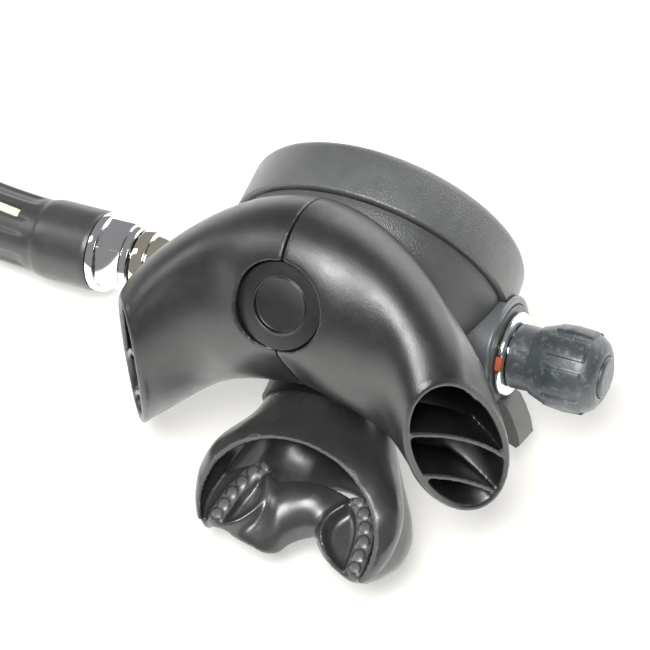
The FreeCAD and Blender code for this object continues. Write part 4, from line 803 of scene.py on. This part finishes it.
def makeBoot():
    line = hoseLine3d()
    first = (line[1] - line[0]).normalized()
    count = int((boot["before"] + boot["length"]) / boot["step"]) + 1
    spots = [-boot["before"] + step * boot["step"] for step in range(count)]
    lengths = [0.0]
    for a, b in zip(line, line[1:]):
        lengths.append(lengths[-1] + (b - a).length / mm)

    def along(place):
        if place <= 0:
            return line[0] + first * place * mm, first
        index = max(i for i, value in enumerate(lengths) if value <= place)
        way = (line[index + 1] - line[index]).normalized()
        ahead = (line[min(index + 2, len(line) - 1)] - line[index + 1]).normalized()
        share = (place - lengths[index]) / (lengths[index + 1] - lengths[index])
        return line[index] + way * (place - lengths[index]) * mm, way.lerp(ahead, share).normalized()

    rows, inner = [], []
    for place in spots:
        middle, way = along(place)
        up, side = squareTo(way)
        ring, hole = [], []
        bore = boot["ferruleBore"] if place < boot["ferruleEnd"] else boot["hoseBore"]
        for step in range(boot["ringPoints"]):
            angle = 2 * math.pi * step / boot["ringPoints"]
            out = up * math.sin(angle) + side * math.cos(angle)
            ring.append(middle + out * bootRadius(place, angle) * mm)
            hole.append(middle + out * bore * mm)
        rows.append(ring)
        inner.append(hole)
    piece = meshFromRows("hoseBoot", rows + inner[::-1])
    turnFacesOut(piece)
    smoothPiece(piece, 40)
    dress(piece, bootRubber, bodyOf["hose_boot"], "hose_boot")
    slot = boot["slot"]
    middle, way = along((slot["start"] + slot["end"]) / 2)
    up, side = squareTo(way)
    angle = math.radians(slot["angle"])
    out = (up * math.sin(angle) + side * math.cos(angle)).normalized()
    deselectAll()
    # The cream bar laid in the slot is a painted reflection of the chrome crimp.
    bpy.ops.mesh.primitive_cube_add(size=1)
    bar = bpy.context.object
    bar.name = "bootSlotReflection"
    window = boot["window"]
    bar.data.transform(Matrix.Diagonal((slot["end"] - slot["start"] - window["shorter"], window["wide"],
                                        window["thick"], 1)))
    edge = bar.modifiers.new("edge", "BEVEL")
    edge.width = window["round"]
    edge.segments = 3
    applyModifiers(bar)
    across = out.cross(way)
    matrix = Matrix((way, across, out)).transposed().to_4x4()
    matrix.translation = middle + out * (window["skin"] - slot["depth"] + window["lift"]) * mm
    bar.data.transform(matrix @ Matrix.Scale(mm, 4))
    bar.data.update()
    smoothPiece(bar, 40)
    dress(bar, windowCream, bodyOf["hose_boot"])


makeBoot()
tuple(hoseLine[0])
print("boot ready")


# Badge on the exhaust port: a plain ring round a sunk, bare disc.

badge = {
    "radius": 10.9, "thick": 1.0, "sides": 128, "place": (0, -35.4, 41.3), "lean": 44.3, "round": 0.16,
    "topUpright": 0.9, "topCentred": 0.5, "topCorners": 20,
    # From the edge to the middle: inset, then rise or fall. An inset of 0 is a straight wall.
    "steps": [(3.6, 0.1), (0.25, 0.4), (0.4, 0.0), (0.2, -0.45), (0, -0.6), (0.25, -0.1)],
}


def pushTop(piece, inset, move):
    # Selects the flat face on top, which is upright, centred and of many corners, then insets and moves it.
    pick(piece)
    bpy.ops.object.mode_set(mode="EDIT")
    bpy.ops.mesh.select_all(action="DESELECT")
    shape = bmesh.from_edit_mesh(piece.data)
    found = [face for face in shape.faces
             if face.normal.z > badge["topUpright"] and len(face.verts) > badge["topCorners"]
             and face.calc_center_median().to_2d().length < badge["topCentred"]]
    top = max(found, key=lambda face: (len(face.verts), face.calc_center_median().z))
    top.select_set(True)
    bmesh.update_edit_mesh(piece.data)
    if inset:
        bpy.ops.mesh.inset(thickness=inset, depth=move)
    else:
        bpy.ops.mesh.extrude_region_move(TRANSFORM_OT_translate={"value": (0, 0, move)})
    bpy.ops.object.mode_set(mode="OBJECT")


def makeBadge():
    deselectAll()
    bpy.ops.mesh.primitive_cylinder_add(vertices=badge["sides"], radius=badge["radius"], depth=badge["thick"],
                                        location=(0, 0, -badge["thick"] / 2))
    piece = bpy.context.object
    piece.name = "teeBadge"
    bpy.ops.object.transform_apply(location=True, rotation=True, scale=True)
    for inset, move in badge["steps"]:
        pushTop(piece, inset, move)
    edge = piece.modifiers.new("edge", "BEVEL")
    edge.width = badge["round"]
    edge.segments = 3
    edge.limit_method = "ANGLE"
    edge.angle_limit = math.radians(24)
    applyModifiers(piece)
    smoothPiece(piece, 40)
    place = Matrix.Translation(Vector(badge["place"])) @ Matrix.Rotation(math.radians(badge["lean"]), 4, "X")
    piece.data.transform(place)
    settle(piece)
    dress(piece, badgeSatin, bodyOf["tee_badge"], "tee_badge")


makeBadge()
print("badge ready")


# Camera, floor and lamps. The camera stands in the valve's frame, in mm, and its focal length is in
# pixels of a picture photoSide wide.

camera = {
    "place": (237.39, -278.23, 549.42), "right": (0.9001, 0.3767, -0.2190), "down": (0.2290, -0.8365, -0.4978),
    "forward": (-0.3707, 0.3979, -0.8392), "focalPixels": 2562.6, "photoSide": 650, "sensor": 36, "reach": 20,
}


def makeCamera():
    data = bpy.data.cameras.new("camera")
    data.sensor_width = camera["sensor"]
    data.sensor_fit = "HORIZONTAL"
    data.lens = camera["focalPixels"] * camera["sensor"] / camera["photoSide"]
    data.clip_end = camera["reach"]
    eye = newPiece("camera", data)
    turn = settleMatrix.to_3x3()
    right = turn @ Vector(camera["right"])
    up = turn @ -Vector(camera["down"])
    back = turn @ -Vector(camera["forward"])
    matrix = Matrix((right, up, back)).transposed().to_4x4()
    matrix.translation = onFloor(camera["place"])
    eye.matrix_world = matrix
    bpy.context.scene.camera = eye


# The floor glows for the camera and in mirrors, and gives the pieces no light of its own beyond that.
floorLook = {"size": 8, "colour": (0.8, 0.79, 0.77), "seenColour": (0.6, 0.58, 0.535), "rough": 0.6, "seen": 0.46,
             "mirrored": 0.85, "glow": (1, 1, 0.995)}


def makeFloor():
    deselectAll()
    bpy.ops.mesh.primitive_plane_add(size=floorLook["size"], location=(0, 0, 0))
    floor = bpy.context.object
    floor.name = "floor"
    material, tree, shader = basicMaterial("paleFloor", floorLook["colour"], floorLook["rough"])
    rays = tree.nodes.new("ShaderNodeLightPath")
    tone = tree.nodes.new("ShaderNodeMixRGB")
    tone.inputs["Color1"].default_value = (*floorLook["colour"], 1)
    tone.inputs["Color2"].default_value = (*floorLook["seenColour"], 1)
    link(tree, rays, "Is Camera Ray", tone, "Fac")
    link(tree, tone, "Color", shader, "Base Color")
    seen = tree.nodes.new("ShaderNodeMath")
    seen.operation = "MULTIPLY"
    seen.inputs[1].default_value = floorLook["seen"]
    link(tree, rays, "Is Camera Ray", seen, 0)
    mirrored = tree.nodes.new("ShaderNodeMath")
    mirrored.operation = "MULTIPLY"
    mirrored.inputs[1].default_value = floorLook["mirrored"]
    link(tree, rays, "Is Glossy Ray", mirrored, 0)
    strength = tree.nodes.new("ShaderNodeMath")
    strength.operation = "MAXIMUM"
    link(tree, seen, "Value", strength, 0)
    link(tree, mirrored, "Value", strength, 1)
    glow = tree.nodes.new("ShaderNodeEmission")
    glow.inputs["Color"].default_value = (*floorLook["glow"], 1)
    link(tree, strength, "Value", glow, "Strength")
    both = tree.nodes.new("ShaderNodeAddShader")
    link(tree, shader, "BSDF", both, 0)
    link(tree, glow, "Emission", both, 1)
    link(tree, both, "Shader", tree.nodes["Material Output"], "Surface")
    floor.data.materials.append(material)


def makeLamp(name, place, size, power):
    data = bpy.data.lights.new(name, "AREA")
    data.shape = "RECTANGLE"
    data.size, data.size_y = size
    data.energy = power
    lamp = newPiece(name, data)
    lamp.location = place
    lamp.rotation_euler = (Vector(lights["aim"]) - Vector(place)).to_track_quat("-Z", "Y").to_euler()


lights = {
    "room": 0.3, "aim": (0, 0, 0.03),
    "boxes": [("keyBox", (0.02, -0.4, 1.02), (0.5, 0.44), 13), ("backWall", (0.35, 1.1, 0.45), (1.4, 0.8), 10),
              ("leftBox", (-0.95, -0.1, 0.75), (0.3, 0.6), 3)],
}


def makeLights():
    world = bpy.data.worlds.new("room")
    bpy.context.scene.world = world
    world.use_nodes = True
    world.node_tree.nodes["Background"].inputs["Color"].default_value = (1, 1, 1, 1)
    rays = world.node_tree.nodes.new("ShaderNodeLightPath")  # white to the camera, dimmer to the pieces
    strength = world.node_tree.nodes.new("ShaderNodeMath")
    strength.operation = "MAXIMUM"
    strength.inputs[1].default_value = lights["room"]
    link(world.node_tree, rays, "Is Camera Ray", strength, 0)
    link(world.node_tree, strength, "Value", world.node_tree.nodes["Background"], "Strength")
    for box in lights["boxes"]:
        makeLamp(*box)


makeCamera()
makeFloor()
makeLights()
bpy.context.scene.view_settings.view_transform = "Standard"
print("camera and light ready")
